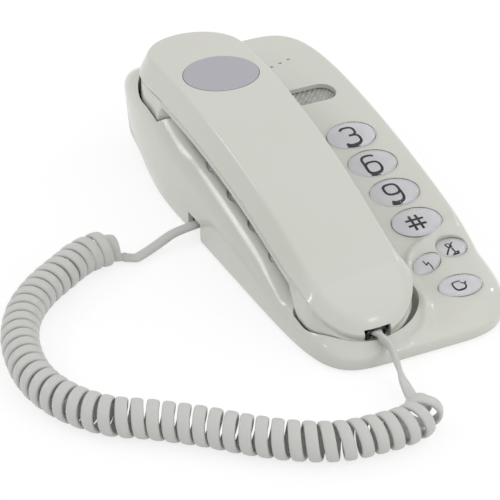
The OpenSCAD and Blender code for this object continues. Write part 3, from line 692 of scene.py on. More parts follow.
def finished_tree(tree, add, shape, material):
    """The tree's last three nodes: real geometry, its material and the way out."""
    plain = add("GeometryNodeRealizeInstances", {0: shape})
    add("NodeGroupOutput", {0: add("GeometryNodeSetMaterial", {"Geometry": plain, "Material": material})})
    return tree


def swept_tree(name, material):
    tree, given, add = new_tree(name, Line="Geometry", Width="Float", Thickness="Float")
    line = add("GeometryNodeMeshToCurve", {0: given["Line"]})
    facing = add("GeometryNodeInputNamedAttribute", {0: "facing"}, data_type="FLOAT_VECTOR")
    turned = add("GeometryNodeSetCurveNormal", {"Curve": line, "Normal": facing}, mode="FREE")
    circle = add("GeometryNodeCurvePrimitiveCircle", {"Resolution": 14, "Radius": 0.5})
    place = add("GeometryNodeInputPosition", {})
    parts = add("ShaderNodeSeparateXYZ", {0: place}).node.outputs
    flat = []
    fullness = 0.72  # 1 gives an oval, and less gives a flat section with round edges
    for axis, size in ((0, "Thickness"), (1, "Width")):
        double = add("ShaderNodeMath", {0: parts[axis], 1: 2.0}, operation="MULTIPLY")
        sign = add("ShaderNodeMath", {0: double}, operation="SIGN")
        bare = add("ShaderNodeMath", {0: double}, operation="ABSOLUTE")
        fuller = add("ShaderNodeMath", {0: bare, 1: fullness}, operation="POWER")
        signed = add("ShaderNodeMath", {0: fuller, 1: sign}, operation="MULTIPLY")
        half = add("ShaderNodeMath", {0: given[size], 1: 0.5}, operation="MULTIPLY")
        flat.append(add("ShaderNodeMath", {0: signed, 1: half}, operation="MULTIPLY"))
    spot = add("ShaderNodeCombineXYZ", {0: flat[0], 1: flat[1]})
    section = add("GeometryNodeSetPosition", {"Geometry": circle, "Position": spot})
    tube = add("GeometryNodeCurveToMesh", {"Curve": turned, "Profile Curve": section, "Fill Caps": True})
    return finished_tree(tree, add, tube, material)


def with_nodes(thing, tree, **sizes):
    grown = thing.modifiers.new("nodes", "NODES")
    grown.node_group = tree
    for item in tree.interface.items_tree:
        if item.name in sizes:
            grown[item.identifier] = sizes[item.name]
    return settle(thing)


def swept(name, stations, tree, width, thickness):
    """A solid along stations, each a point and the way its flat side faces."""
    line = bpy.data.meshes.new(name)
    line.from_pydata([p * MM for p, _ in stations], [(i, i + 1) for i in range(len(stations) - 1)], [])
    facing = line.attributes.new("facing", "FLOAT_VECTOR", "POINT")
    facing.data.foreach_set("vector", [c for _, way in stations for c in way])
    return shaded(with_nodes(linked(name, line), tree, Width=width * MM, Thickness=thickness * MM), 60)


# %% Sweep the cord
cord = swept("curly_cord", centres, swept_tree("flat_cord", cord_grey), cord_w, cord_t)
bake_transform(cord)
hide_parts("cord_lead_base", "cord_coil", "cord_lead_handset")
print("cord:", len(cord.data.polygons), "faces")

# %% [markdown]
# ## The base's top shell
#
# The casing is one moulding: a deck that rises towards the earpiece end, a soft roll on the left, a
# tight rim on the right, and a pocket for the handset. It could be sculpted, but a surface that follows
# a rule stays true when a size changes. The rings give the outside; a second, plainer stack gives the
# space inside; a third is the handset's own outline, grown by the running gap, which cuts the pocket.

# %% Outside, inside and pocket
edge_insets = [12, 11, 10, 9.1, 8.2, 7.4, 6.6, 5.8, 5.1, 4.4, 3.8, 3.2, 2.7, 2.2, 1.75, 1.35, 1.0, 0.7,
               0.45, 0.25, 0.1, 0]
deck_insets = [42.6 - 0.6 * k for k in range(51)]
outer_steps, inner_steps = 384, 96


def lower_rings(steps, skin_t, low):
    """The walls below the rim, down to the height low, and the way in to the middle."""
    def belly(x, y):
        return min(11, 0.45 * rim_z(x, y)) - 0.2 * skin_t

    return [raised(base_ring(steps, skin_t, tuck * 0.25), belly),
            raised(base_ring(steps, skin_t, tuck), cover_z + 1.6),
            raised(base_ring(steps, skin_t + 0.5, tuck), low),
            raised(base_ring(steps, 30), low),
            raised(base_ring(steps, base_w / 2 - 1), low)]


def outer_form():
    rings = [raised(base_ring(outer_steps, d), lambda x, y: top_z(x, y, d))
             for d in deck_insets + edge_insets]
    return solid("base_casing", rings + lower_rings(outer_steps, 0, cover_z))


def inner_form():
    def roof(x, y):
        return rim_z(x, y, cheek_y) - wall - rim_drop(d, inner_rim_r(x, y))

    rings = []
    for d in (base_w / 2 - wall - 1, 28, 14, soft_rim_r, 5.4, 2.9, 1.1, 0.25, 0):
        rings.append(raised(base_ring(inner_steps, d + wall), roof))
    return solid("inside", rings + lower_rings(inner_steps, wall, -1))


pocket_room = 2.2


def roomier(p):
    """The pocket is wider on the right of the mouthpiece, so that a finger can lift the handset."""
    x, y, z = p
    return (x + pocket_room * smooth((x - handset_x) / 16) * smooth((-y - 58) / 14), y, z)


def cradle_form(name, grow, steps):
    rings = [raised(stadium(d - grow, *steps), handset_top_z + 20) for d in (mouth_w / 2 - 1, 0)]
    rings += [floor_ring(part, 0, steps, grow) for part in (0.02, 0.08, 0.2, 0.35, 0.5, 0.75, 1, 2, 3.2)]
    return solid(name, [[roomier(p) for p in ring] for ring in rings])


cradle_steps = (48, 2.0)
cavity = carved(inner_form(), [cradle_form("pocket_wall", cradle_gap + wall, cradle_steps)])
casing = carved(outer_form(), [cavity, cradle_form("pocket", cradle_gap, cradle_steps)])
print("casing before its openings:", len(casing.data.polygons), "faces")

# %% [markdown]
# ## Openings in the deck
#
# A moulded opening has a small rounded edge, because a sharp one would chip. Each cutter here is a
# stack of ovals that follows the deck: straight below the surface and flared at it, which leaves a
# rounded edge all round, whatever the slope of the deck.

# %% Where the keys are
first_row_y, row_pitch, column_pitch, field_x = 14.6, 18.4, 26.8, -0.7
key_w, key_h, key_gap, key_rim, key_dome, cap_wall = 20.8, 15.3, 0.12, 0.7, 1.6, 0.6
deck_under, tab_t = wall + 0.9, 1.2
field_y = first_row_y - 1.5 * row_pitch
field_rise = deck_z(first_row_y) - deck_z(first_row_y - 3 * row_pitch)
key_slope = math.atan(field_rise / (3 * row_pitch))
field_z = (deck_z(first_row_y) + deck_z(first_row_y - 3 * row_pitch)) / 2 + 0.2
field = Matrix.Translation((field_x, field_y, field_z)) @ Matrix.Rotation(key_slope, 4, "X")
keys = {}
for i, name in enumerate(["1", "2", "3", "4", "5", "6", "7", "8", "9", "star", "0", "hash"]):
    column, row = i % 3, i // 3
    spot = ((column - 1) * column_pitch, (1.5 - row) * row_pitch / math.cos(key_slope), 0)
    keys[name] = (field @ Matrix.Translation(spot), key_w, key_h)
for name, x, y, w, h, turn in (("flash", 18.7, -62, 15.5, 8.6, 34), ("mute", 32.9, -56, 12.6, 11.4, 12),
                               ("redial", 22.7, -80.6, 17.6, 12.6, 0)):
    keys[name] = (Matrix.Translation((x, y, island_z)) @ Matrix.Rotation(math.radians(turn), 4, "Z"), w, h)


def oval(w, h, steps=64):
    """An oval that starts at its near tip and runs round through +X."""
    turns = [math.radians(270 + i * 360 / steps) for i in range(steps)]
    return [(w / 2 * math.cos(a), h / 2 * math.sin(a)) for a in turns]


def placed(place, outline, z):
    return [tuple(place @ Vector((x, y, z))) for x, y in outline]


def inset_at(x, y):
    """Rough distance from a deck point to the base's edge."""
    return max(0.0, min(base_w / 2 - abs(x), base_l / 2 - abs(y)))


def on_deck(place, x, y, lift):
    """The point of a tilted column (x, y) that lies a given height above the deck."""
    z = 0.0
    for _ in range(4):
        p = place @ Vector((x, y, z))
        z += top_z(p.x, p.y, inset_at(p.x, p.y)) + lift - p.z
    return tuple(place @ Vector((x, y, z)))


# How far the opening has grown at each height over the deck
flare = [(0.0, -0.5), (0.03, -0.3), (0.1, -0.15), (0.24, -0.04), (0.42, 0.02), (0.7, 0.25), (0.7, 4.0)]


def key_cutter(place, w, h):
    w, h = w + 2 * key_gap, h + 2 * key_gap
    rings = [placed(place, oval(w * share, h * share), -wall - 2.4) for share in (0.5, 1)]
    for grow, lift in flare:
        rings.append([on_deck(place, x, y, lift) for x, y in oval(w + 2 * grow, h + 2 * grow)])
    top = rings[-1]
    middle = tuple(sum(p[i] for p in top) / len(top) for i in range(3))
    rings.append([tuple(mix(m, c, 0.2) for m, c in zip(middle, p)) for p in top])
    return solid("key_cutter", rings)


for place, w, h in keys.values():
    carved(casing, [key_cutter(place, w, h)])
print("key openings cut:", len(keys))

# %% The window, the sound holes and the openings for the hook, the sockets and the switch
lens_x0, lens_x1, lens_y0, lens_y1 = 12.3, 35.3, 41.0, 53.0
lens_mid_y, lens_sunk = 47.0, 0.9
base_jack_y, base_jack_z, jack_w, jack_h = 12.0, 5.8, 11.0, 6.4
plug_w, plug_h, plug_l, plug_tail, plug_back = 7.6, 4.8, 12.0, 2.6, 6.5
line_x, line_jack_w, line_jack_h, line_jack_z, line_face_y, seat = 16.0, 13.0, 10.0, 12.0, 96.4, 0.3
switch_y, switch_z, switch_l, switch_h, switch_travel = 40.0, 14.0, 6.0, 3.0, 2.0
hook_x, hook_y, hook_w, hook_h, hook_gap = handset_x, 60.0, 8.0, 5.0, 0.4
sound_x, sound_y, sound_step, sound_d = 23.3, 74.0, (4.6, 1.4), 1.4
deck_tilt = math.atan(deck_slope - 2 * deck_curve * (lens_mid_y - deck_foot_y))


def lens_outline(grow, steps=24):
    """The window's outline: square on the left and a half circle on the right."""
    r = (lens_y1 - lens_y0) / 2
    turns = [math.radians(180 - 180 * k / steps) for k in range(steps + 1)]
    right = [(lens_x1 - r + (r + grow) * math.sin(a), lens_y0 + r + (r + grow) * math.cos(a)) for a in turns]
    return [(lens_x0 - grow, lens_y0 - grow)] + right + [(lens_x0 - grow, lens_y1 + grow)]


def prism(name, outline, low, high, place=None):
    """A straight solid between two heights."""
    n = len(outline)
    points = raised(outline, low) + raised(outline, high)
    if place:
        points = [tuple(place @ Vector(p)) for p in points]
    return mesh_of(name, points, [tuple(range(n)), tuple(range(n, 2 * n))] + bands(n, 2))


def slot_block(name, centre, size, gap):
    """A cutter for a piece of a given centre and size, with a gap all round it."""
    reach = Vector(size) / 2 + Vector((gap, gap, gap))
    return block(name, Vector(centre) - reach, Vector(centre) + reach)


lens_place = (Matrix.Translation((0, lens_mid_y, deck_z(lens_mid_y) - lens_sunk))
              @ Matrix.Rotation(deck_tilt, 4, "X") @ Matrix.Translation((0, -lens_mid_y, 0)))
half_jack = jack_w / 2
hook_low, hook_high = ear_floor_z - cradle_gap - wall - 2, ear_floor_z + 2
openings = [
    prism("window", lens_outline(0), -wall - 2, 4, lens_place),
    slot_block("hook_slot", (hook_x, hook_y, (hook_low + hook_high) / 2),
               (hook_w, hook_h, hook_high - hook_low - 2 * hook_gap), hook_gap),
    block("cord_recess", (-base_w / 2 - 2, base_jack_y - half_jack, -2),
          (-base_w / 2 + 7, base_jack_y + half_jack, base_jack_z + jack_h / 2)),
    slot_block("line_recess", (line_x, line_face_y + 4, line_jack_z),
               (line_jack_w, 20 - 2 * seat, line_jack_h), seat),
    slot_block("switch_slot", (base_w / 2, switch_y, switch_z),
               (20 - 2 * seat, switch_l + switch_travel, switch_h), seat),
]
for i in (-1, 0, 1):
    hole = (sound_x + i * sound_step[0], sound_y + i * sound_step[1])
    edge = [(1.4, 4), (1.1, 0.12), (0.85, -0.05), (sound_d / 2, -0.3), (sound_d / 2, -5)]
    openings.append(lathe("sound_hole", [(r, deck_z(hole[1]) + z) for r, z in edge], hole, 24))
for opening in openings:
    carved(casing, [opening])
shaded(casing, 28)
made(casing, shell_white, "base", "shell", "base_top_shell")

# %% [markdown]
# ## The handset's two shells
#
# The handset is a clamshell: an outer shell with a crowned top, and an inner shell whose two cups hold
# the receiver and the microphone. They meet along a parting line, and on the real one a fine groove
# shows there because both edges are slightly rounded. Both shells are rings again, with the groove
# drawn in.

# %% Shell forms
crown_insets = [19.4, 17.5, 15.5, 13.5, 11.8, 10.2, 8.8, 7.6, 6.6, 5.9, 5.3, 4.8, 4.4, 4.0, 3.6, 3.2,
                2.8, 2.4, 1.9, 1.3, 0.6, 0]
fine = (72, 1.5)
groove, split, seam_inset, seam_soft = 0.12, 0.03, 0.7, 0.06


def crown_ring(inset, skin_t):
    return raised(stadium(inset + skin_t, *fine), lambda x, y: crown_z(inset, y) - skin_t)


def parting_ring(inset, lift):
    return raised(stadium(inset, *fine), lambda x, y: parting_z(y) + lift)


def outer_shell_form():
    rings = [crown_ring(d, 0) for d in crown_insets]
    rings += [parting_ring(0.1, 2.2), parting_ring(0.3, 1.4), parting_ring(0.52, 0.7)]
    rings += [parting_ring(seam_inset - 0.02, groove + split)]
    rings += [parting_ring(seam_inset + groove * 0.4, split + seam_soft)]
    rings += [parting_ring(seam_inset + groove, split), parting_ring(wall + seam_inset, split)]
    rings += [crown_ring(d, wall) for d in (0, 1.4, 3, 5.4, 9, 14, 19.4)]
    return solid("handset_outer", rings)


def inner_shell_form():
    parts = [0.0, 0.015, 0.05, 0.1, 0.17, 0.26, 0.36, 0.48, 0.62, 0.8, 1.0, 1.4, 2.0, 2.7, 3.2]
    rings = [floor_ring(part, wall, fine) for part in (3.2, 2, 1, 0.5, 0.2, 0.02)]
    rings += [parting_ring(wall + seam_inset, -split), parting_ring(seam_inset + groove, -split)]
    rings += [parting_ring(seam_inset + groove * 0.4, -split - seam_soft)]
    rings += [parting_ring(seam_inset, -groove - split)]
    rings += [floor_ring(part, 0, fine) for part in parts]
    return solid("handset_inner", rings)


# %% Badge, socket mouth, sound slots and screw recesses
badge_w, badge_h, badge_y, badge_t, badge_gap, badge_proud = 31.4, 27.0, 42.0, 0.9, 0.25, 0.25
handset_jack_z, handset_mouth_h, handset_plug_back = 10.2, 5.4, 4.6
jack_block_w, jack_block_h, jack_block_l = plug_w + 0.3 + 2.4, 6.1, 12.0
receiver_y, mic_x, mic_y = 66.2, 10.2 + handset_x, -76.2
handset_screw_y, screw_d, screw_head_d = (-46.0, 26.0), 2.6, 5.0


def badge_ring(share, gap, lift):
    """An oval of the badge that follows the crown of the handset."""
    outline = oval((badge_w + 2 * gap) * share, (badge_h + 2 * gap) * share, 96)
    return raised([(x + handset_x, y + badge_y) for x, y in outline],
                  lambda x, y: crown_z(handset_w / 2 - abs(x - handset_x), y) + lift)


badge_cut = solid("badge_cut", [badge_ring(share, badge_gap, 3) for share in (0.1, 0.5, 1)]
                  + [badge_ring(share, badge_gap, -badge_t) for share in (1, 0.8, 0.6, 0.4, 0.2, 0.05)])
outer_shell = carved(outer_shell_form(), [badge_cut])
mouth_cut = block("mouth_cut", (handset_x - half_jack, handset_y0 - 2, handset_jack_z - 6),
                  (handset_x + half_jack, handset_y0 + 7, handset_jack_z + handset_mouth_h / 2))
carved(outer_shell, [mouth_cut])
shaded(outer_shell, 32)
made(outer_shell, shell_white, "handset", "shell", "handset_outer_shell")


def slot_cutter(x, y, half, width, z):
    """An upright slot with round ends."""
    outline = [(x + width / 2 * math.cos(a), y + side * half + width / 2 * math.sin(a))
               for side, first in ((1, 0), (-1, 180))
               for a in (math.radians(first + 22.5 * k) for k in range(9))]
    return prism("slot", outline, z - 1, z + wall + 2)


inner_shell = inner_shell_form()
slot_field_r, slot_pitch = 10, 3
cuts = [slot_cutter(handset_x + slot_pitch * i, receiver_y,
                    math.sqrt(slot_field_r ** 2 - (slot_pitch * i) ** 2) - 2, 1.6, ear_floor_z)
        for i in range(-3, 4)]
cuts += [slot_cutter(mic_x + slot_pitch * i, mic_y, 2, 1.2, mouth_floor_z) for i in (-1, 0, 1)]
shank_r, head_r = screw_d / 2 + 0.3, screw_head_d / 2 + 0.3
for y in handset_screw_y:
    low = handset_bottom(y)
    profile = [(shank_r, low + 6), (shank_r, low + 1.4), (head_r, low + 1.4), (head_r, low - 3)]
    cuts.append(lathe("screw_hole", profile, (handset_x, y), 32))
jack_y, jack_reach = handset_y0 + handset_plug_back, jack_block_w / 2 + seat
cuts.append(block("jack_mouth", (handset_x - half_jack, handset_y0 - 2, handset_jack_z - handset_mouth_h / 2),
                  (handset_x + half_jack, handset_y0 + 6, handset_jack_z + 10)))
cuts.append(block("jack_seat",
                  (handset_x - jack_reach, jack_y - seat, handset_jack_z - jack_block_h / 2 - seat / 2),
                  (handset_x + jack_reach, jack_y + jack_block_l + seat, handset_jack_z + 10)))
for cut in cuts:
    carved(inner_shell, [cut])
shaded(inner_shell, 32)
made(inner_shell, shell_white, "handset", "shell", "handset_inner_shell")

# %% [markdown]
# ## The badge
#
# A plate of brushed silver sits in a recess of its own outline, with a thin dark gap round it. Its edge
# is rounded over, so it catches a fine line of light. It is left bare.

# %% The badge plate
plate = [badge_ring(share, 0, badge_proud) for share in (0.02, 0.2, 0.4, 0.6, 0.8, 0.93, 0.975)]
plate += [badge_ring(0.99, 0, 0.22), badge_ring(0.998, 0, 0.13), badge_ring(1, 0, 0.0)]
plate += [badge_ring(share, 0, -badge_t + 0.05) for share in (1, 0.8, 0.6, 0.4, 0.2, 0.02)]
badge = shaded(solid("badge", plate), 40)
made(badge, badge_silver, "handset", "badge", "badge_plate")

# %% [markdown]
# ## Keys: clear cap, silver insert, black print
#
# Each key is three pieces. The cap is a clear dome with a thin skirt, the insert inside it carries the
# print, and the cap's thickness makes the print look closer than it is. The digits are drawn as
# strokes: straight runs and arcs, given a width, because printed key legends are drawn that way too.

# %% Strokes for the legends
glyph_w, glyph_h, stroke, full_stroke, glyph_shift = 6.4, 9.6, 1.02, 1.04, (-0.8, -0.5)


def squared(v):
    """A sine or cosine that turns a round bowl into a slightly square one."""
    return math.copysign(abs(v) ** 0.74, v)


def arc(cx, cy, rx, ry, start, end, steps=18):
    turns = [math.radians(mix(start, end, k / steps)) for k in range(steps + 1)]
    return [(cx + rx * squared(math.cos(a)), cy + ry * squared(math.sin(a))) for a in turns]


def spoke(turn, r=0.42):
    """A bar of the star, through its middle."""
    x, y = r * math.cos(math.radians(turn)), r * math.sin(math.radians(turn))
    return [(0.5 - x, 0.75 - y), (0.5 + x, 0.75 + y)]


# Legends on a field from 0 to 1 across and 0 to 1.5 up
legends = {
    "1": [[(0.25, 1.2), (0.55, 1.5), (0.55, 0)]],
    "2": [arc(0.5, 1.08, 0.5, 0.42, 165, -30) + [(0.0, 0.0), (1.0, 0.0)]],
    "3": [arc(0.48, 1.12, 0.46, 0.38, 150, -90) + arc(0.48, 0.38, 0.52, 0.38, 90, -150)],
    "4": [[(0.75, 0), (0.75, 1.5), (0.0, 0.45), (1.0, 0.45)]],
    "5": [[(0.92, 1.5), (0.16, 1.5), (0.08, 0.82)] + arc(0.48, 0.46, 0.52, 0.46, 140, -150)],
    "6": [arc(0.52, 0.98, 0.5, 0.52, 50, 180) + arc(0.5, 0.45, 0.48, 0.45, 180, 540)],
    "7": [[(0.0, 1.5), (1.0, 1.5), (0.35, 0)]],
    "8": [arc(0.5, 1.13, 0.42, 0.37, 90, 450), arc(0.5, 0.38, 0.5, 0.38, 90, 450)],
    "9": [arc(0.48, 0.52, 0.5, 0.52, -130, 0) + arc(0.5, 1.05, 0.48, 0.45, 0, 360)],
    "0": [arc(0.5, 0.75, 0.5, 0.75, 90, 450, 28)],
    "star": [spoke(30), spoke(90), spoke(150)],
    "hash": [[(0.28, 0.2), (0.28, 1.3)], [(0.72, 0.2), (0.72, 1.3)], [(-0.05, 0.53), (1.05, 0.53)],
             [(-0.05, 0.97), (1.05, 0.97)]],
    "flash": [[(0.62, 1.35), (0.2, 0.72), (0.72, 0.78), (0.34, 0.12)]],
    "mute": [arc(0.5, 1.05, 0.2, 0.3, 0, 360), [(0.5, 0.6), (0.5, 0.1)], [(0.2, 0.1), (0.8, 0.1)],
             [(-0.1, 0.45), (1.1, 1.3)]],
    "redial": [arc(0.5, 0.75, 0.46, 0.46, 60, 360, 24), [(0.78, 0.98), (0.96, 0.73), (1.16, 0.96)]],
}
small_scale = {"flash": 0.52, "mute": 0.66, "redial": 0.8}


def ribbon(points, width):
    """Flat strips along a polyline, with square joints that overlap a little."""
    quads = []
    overlap = 0.32
    for a, b in zip(points, points[1:]):
        d = b - a
        if d.length < 1e-6:
            continue
        d.normalize()
        side, reach = Vector((-d.y, d.x)) * width / 2, d * width * overlap
        quads.append([a - side - reach, b - side + reach, b + side + reach, a + side - reach])
    return quads


def print_mesh(name, place, legend, scale, level):
    """Ink as thin tiles over the strokes, each tile a hair higher than the last so that none flickers."""
    points, faces = [], []
    width = stroke * (full_stroke if scale == 1 else 0.2 + 0.55 * scale)
    middle, size = Vector((0.5, 0.75)), Vector((glyph_w, glyph_h / 1.5)) * scale
    for line in legend:
        run = [(Vector(p) - middle) * size + Vector(glyph_shift) for p in line]
        for quad in ribbon(run, width):
            n, lift = len(points), level + 0.0004 * (len(faces) % 7)
            points += placed(place, quad, level - 0.02) + placed(place, quad, lift + 0.03)
            faces += [(n + 3, n + 2, n + 1, n), (n + 4, n + 5, n + 6, n + 7)] + bands(4, 2, n)
    mesh = bpy.data.meshes.new(name)
    mesh.from_pydata([Vector(p) * MM for p in points], [], faces)
    return linked(name, mesh)


# %% Caps, inserts and prints
cap_roof, roof_edge = key_rim - 1.2, key_rim - 1.35
insert_top = cap_roof + 0.03  # just inside the clear plastic, as if moulded in
foot = -deck_under - tab_t
stem_d, stem_l = 5.0, 0.5
dome_shares = (0.02, 0.2, 0.38, 0.52, 0.64, 0.74, 0.82, 0.88, 0.925, 0.958, 0.98, 0.993, 0.999)


def levels(place, w, h, steps):
    """Ovals of a key, one for each (share of its width and height, height)."""
    return [placed(place, oval(w * share, h * share), z) for share, z in steps]


def cap(name, place, w, h):
    outside = [(q, key_rim + key_dome * (1 - q ** 4) ** 0.6) for q in dome_shares]
    rings = levels(place, w, h, outside + [(1, key_rim - 0.1), (1, foot)])
    inside = [(1, foot), (1, roof_edge)] + [(q, cap_roof) for q in (0.97, 0.7, 0.4, 0.02)]
    rings += levels(place, w - 2 * cap_wall, h - 2 * cap_wall, inside)
    return shaded(solid(name, rings), 40)


def insert(name, place, w, h):
    inset = 2 * cap_wall + 0.1
    steps = [(q, insert_top) for q in (0.02, 0.5, 0.97)] + [(1, insert_top - 0.12), (1, foot)]
    rings = levels(place, w - inset, h - inset, steps)
    rings += levels(place, stem_d, stem_d, [(1, foot), (1, foot - stem_l), (0.1, foot - stem_l)])
    return shaded(solid(name, rings), 40)


for name, (place, w, h) in keys.items():
    body = "button_" + name
    made(cap("cap_" + name, place, w, h), clear_cap, body, "clear_cap", "key_" + name)
    made(insert("insert_" + name, place, w, h), insert_silver, body, "insert", "label_" + name)
    ink = print_mesh("print_" + name, place, legends[name], small_scale.get(name, 1.0), insert_top + 0.02)
    made(ink, ink_black, body, "insert")

# %% [markdown]
# ## The message window
#
# Behind the window in the deck sits a grey lens with a moulded pattern of small pyramids, which
# spreads the lamp's light. The pattern is a height field on a grid, trimmed to the window's outline.

# %% The lens
lens_t, pyramid, pyramid_h, margin = 1.2, 0.9, 0.3, 2
lens_top = lens_sunk - wall - seat - 0.2


def saw(t):
    """A wave of straight flanks between 0 and 1, one pyramid long on each side."""
    return abs((t / pyramid) % 2 - 1)


def lens_solid():
    x0, y0 = lens_x0 - margin, lens_y0 - margin
    step = pyramid / 4
    nx = int((lens_x1 + margin - x0) / step)
    ny = int((lens_y1 + margin - y0) / step)
    row = nx + 1
    top = []
    for j in range(ny + 1):
        for i in range(nx + 1):
            height = 2 * min(saw((i + j) * step * 0.75), saw((i - j) * step * 0.75)) - 1
            top.append((x0 + i * step, y0 + j * step, lens_top + pyramid_h * height))
    faces = [(j * row + i, j * row + i + 1, (j + 1) * row + i + 1, (j + 1) * row + i)
             for j in range(ny) for i in range(nx)]
    edge = (list(range(nx)) + [j * row + nx for j in range(ny)]
            + [ny * row + i for i in range(nx, 0, -1)] + [j * row for j in range(ny, 0, -1)])
    start, n = len(top), len(edge)
    points = top + [(top[i][0], top[i][1], lens_top - lens_t) for i in edge]
    faces += [(start + k, start + (k + 1) % n, edge[(k + 1) % n], edge[k]) for k in range(n)]
    faces.append(tuple(start + k for k in range(n)))
    slab = mesh_of("lens", [tuple(lens_place @ Vector(p)) for p in points], faces)
    return carved(slab, [prism("lens_trim", lens_outline(1.5), -9, 9, lens_place)], "INTERSECT")


made(shaded(lens_solid(), 20), lens_grey, "base", "lens", "lamp_lens")

# %% [markdown]
# ## Modular plugs and their sockets
#
# Each end of the cord has a four-pole modular plug: a clear block with a springy latch and four gilt
# blades. The blades repeat, so Geometry Nodes place them: one small blade, instanced on four points.
# The sockets stay as the construction model has them.


# %% Instances on points, for blades and screws
def instance_tree(name):
    tree, given, add = new_tree(name, Points="Geometry", Shape="Object", Finish="Material")
    shape = add("GeometryNodeObjectInfo", {"Object": given["Shape"]}, "Geometry")
    spread = add("GeometryNodeInstanceOnPoints", {"Points": given["Points"], "Instance": shape})
    return finished_tree(tree, add, spread, given["Finish"])


copy_tree = instance_tree("copies_on_points")


def copies(name, shape, spots, material):
    """One mesh that holds a copy of shape at each spot."""
    points = bpy.data.meshes.new(name)
    points.from_pydata([Vector(s) * MM for s in spots], [], [])
    thing = with_nodes(linked(name, points), copy_tree, Shape=shape, Finish=material)
    bpy.data.objects.remove(shape)
    return thing


# %% Plugs
plug_places = {
    "base": (Matrix.Translation((-base_w / 2 + plug_back, base_jack_y, base_jack_z))
             @ Matrix.Rotation(math.radians(-90), 4, "Z")),
    "handset": Matrix.Translation((handset_x, jack_y, handset_jack_z)),
}
blade_step, blade_w, blade_y0, blade_y1, blade_h = 1.27, 0.4, 5.2, 9.0, 1.2


def rounded_block(name, low, high, bevel):
    thing = block(name, low, high)
    edge = thing.modifiers.new("edge", "BEVEL")
    edge.width = bevel * MM
    edge.segments = 3
    return settle(thing)


def joined(name, parts, place):
    """One mesh from several, moved to its place; the parts are used up."""
    points, faces = [], []
    for part in parts:
        start = len(points)
        points += [tuple(place @ (v.co / MM)) for v in part.data.vertices]
        faces += [tuple(start + i for i in p.vertices) for p in part.data.polygons]
        bpy.data.objects.remove(part)
    mesh = bpy.data.meshes.new(name)
    mesh.from_pydata([Vector(p) * MM for p in points], [], faces)
    return linked(name, mesh)


def plug_solid(name, place):
    body = rounded_block("plug_body", (-plug_w / 2, -plug_tail, -plug_h / 2 + 0.01),
                         (plug_w / 2, plug_l - 2.8, plug_h / 2 - 0.6), 0.25)
    latch = rounded_block("latch", (-1.6, 1.2, plug_h / 2 - 0.6), (1.6, 6, plug_h / 2), 0.12)
    neck = rounded_block("neck", (-2.6, -plug_tail + 0.1, -1.5), (2.6, -plug_tail + 1.4, 1.5), 0.2)
    return shaded(joined(name, [body, latch, neck], place), 40)


def blade_shape(place):
    """A blade at the origin, turned as its plug is."""
    half_w, bottom = blade_w / 2, -plug_h / 2
    part = block("blade_part", (-half_w, blade_y0, bottom - 0.02), (half_w, blade_y1, bottom + blade_h))
    return joined("blade", [part], place.to_3x3().to_4x4())


for body, place in plug_places.items():
    plug = plug_solid("plug_" + body, place)
    made(plug, clear_plug, body, "plug", "cord_plug_" + body)
    spots = [place @ Vector(((i - 1.5) * blade_step, 0, 0)) for i in range(4)]
    made(copies("plug_blades_" + body, blade_shape(place), spots, gilt), gilt, body, "plug")

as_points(cord_path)

# %% [markdown]
# ## Hook spring
#
# The hook plunger is pushed up by a small coil spring. It is a helix of round wire, swept by a node tree
# built as the cord's is, and it spans the construction spring's height, between the base and the hook.

# %% The spring
spring_r, wire_d, spring_turns, per_turn = 2.2, 0.5, 6, 24
spring_low, spring_high = (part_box("hook_spring")[i].z / MM for i in (0, 1))


def helix(low, high):
    """Stations of the wire round the plunger, each facing outwards."""
    count = spring_turns * per_turn
    stations = []
    for k in range(count + 1):
        a = k * math.tau / per_turn
        outward = Vector((math.cos(a), math.sin(a), 0))
        stations.append((Vector((hook_x, hook_y, mix(low, high, k / count))) + outward * spring_r, outward))
    return stations


wire = helix(spring_low + wire_d / 2, spring_high - wire_d / 2)
spring = swept("return_spring", wire, swept_tree("round_wire", steel), wire_d, wire_d)
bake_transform(spring)
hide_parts("hook_spring")

# %% [markdown]
# ## Screws
#
# All five screws are pan-head screws with a cross recess. One function turns both lengths, and Geometry
# Nodes put a copy on each point. The handset's screws ride on the handset and the base's on the base.


# %% A cross-recessed pan-head screw, upside down
thread_pitch, recess_w = 0.9, 0.56


def screw_shape(head_h, shank_l):
    head_r, thread_r, core_r = screw_head_d / 2, screw_d / 2, screw_d / 2 * 0.8
    profile = [(0.01, 0.0), (head_r * 0.55, 0.0), (head_r * 0.85, 0.12), (head_r * 0.97, 0.35),
               (head_r, head_h), (core_r, head_h)]
    for k in range(int((shank_l - 0.6) / thread_pitch)):
        z = head_h + 0.3 + k * thread_pitch
        profile += [(core_r, z), (thread_r, z + thread_pitch * 0.4), (core_r, z + thread_pitch * 0.8)]
    profile += [(core_r, head_h + shank_l - 0.3), (0.2, head_h + shank_l)]
    body = lathe("screw", profile, (0, 0), 28)
    half_l, half_w = head_r * 0.55, recess_w / 2
    for turn in (0, 90):
        recess = block("recess", (-half_l, -half_w, -1), (half_l, half_w, head_h * 0.62))
        recess.data.transform(Matrix.Rotation(math.radians(turn), 4, "Z"))
        carved(body, [recess])
    return shaded(body, 35)


base_screw_xy = [(-30, 84), (30, 84), (33, -90.5)]
base_screws = copies("casing_screws", screw_shape(0.6, 7.1), [(x, y, 0.2) for x, y in base_screw_xy], steel)
made(base_screws, steel, "base", "steel", "base_screws")
handset_spots = [(handset_x, y, handset_bottom(y) - 0.1) for y in handset_screw_y]
handset_screws = copies("grip_screws", screw_shape(1.3, 7.2), handset_spots, steel)
made(handset_screws, steel, "handset", "steel", "handset_screws")

# %% [markdown]
# ## Finishes for the construction pieces that stay
#
# Pieces whose shape is already right keep the construction model's mesh and only get a material. Most
# of them are out of sight inside the casing.

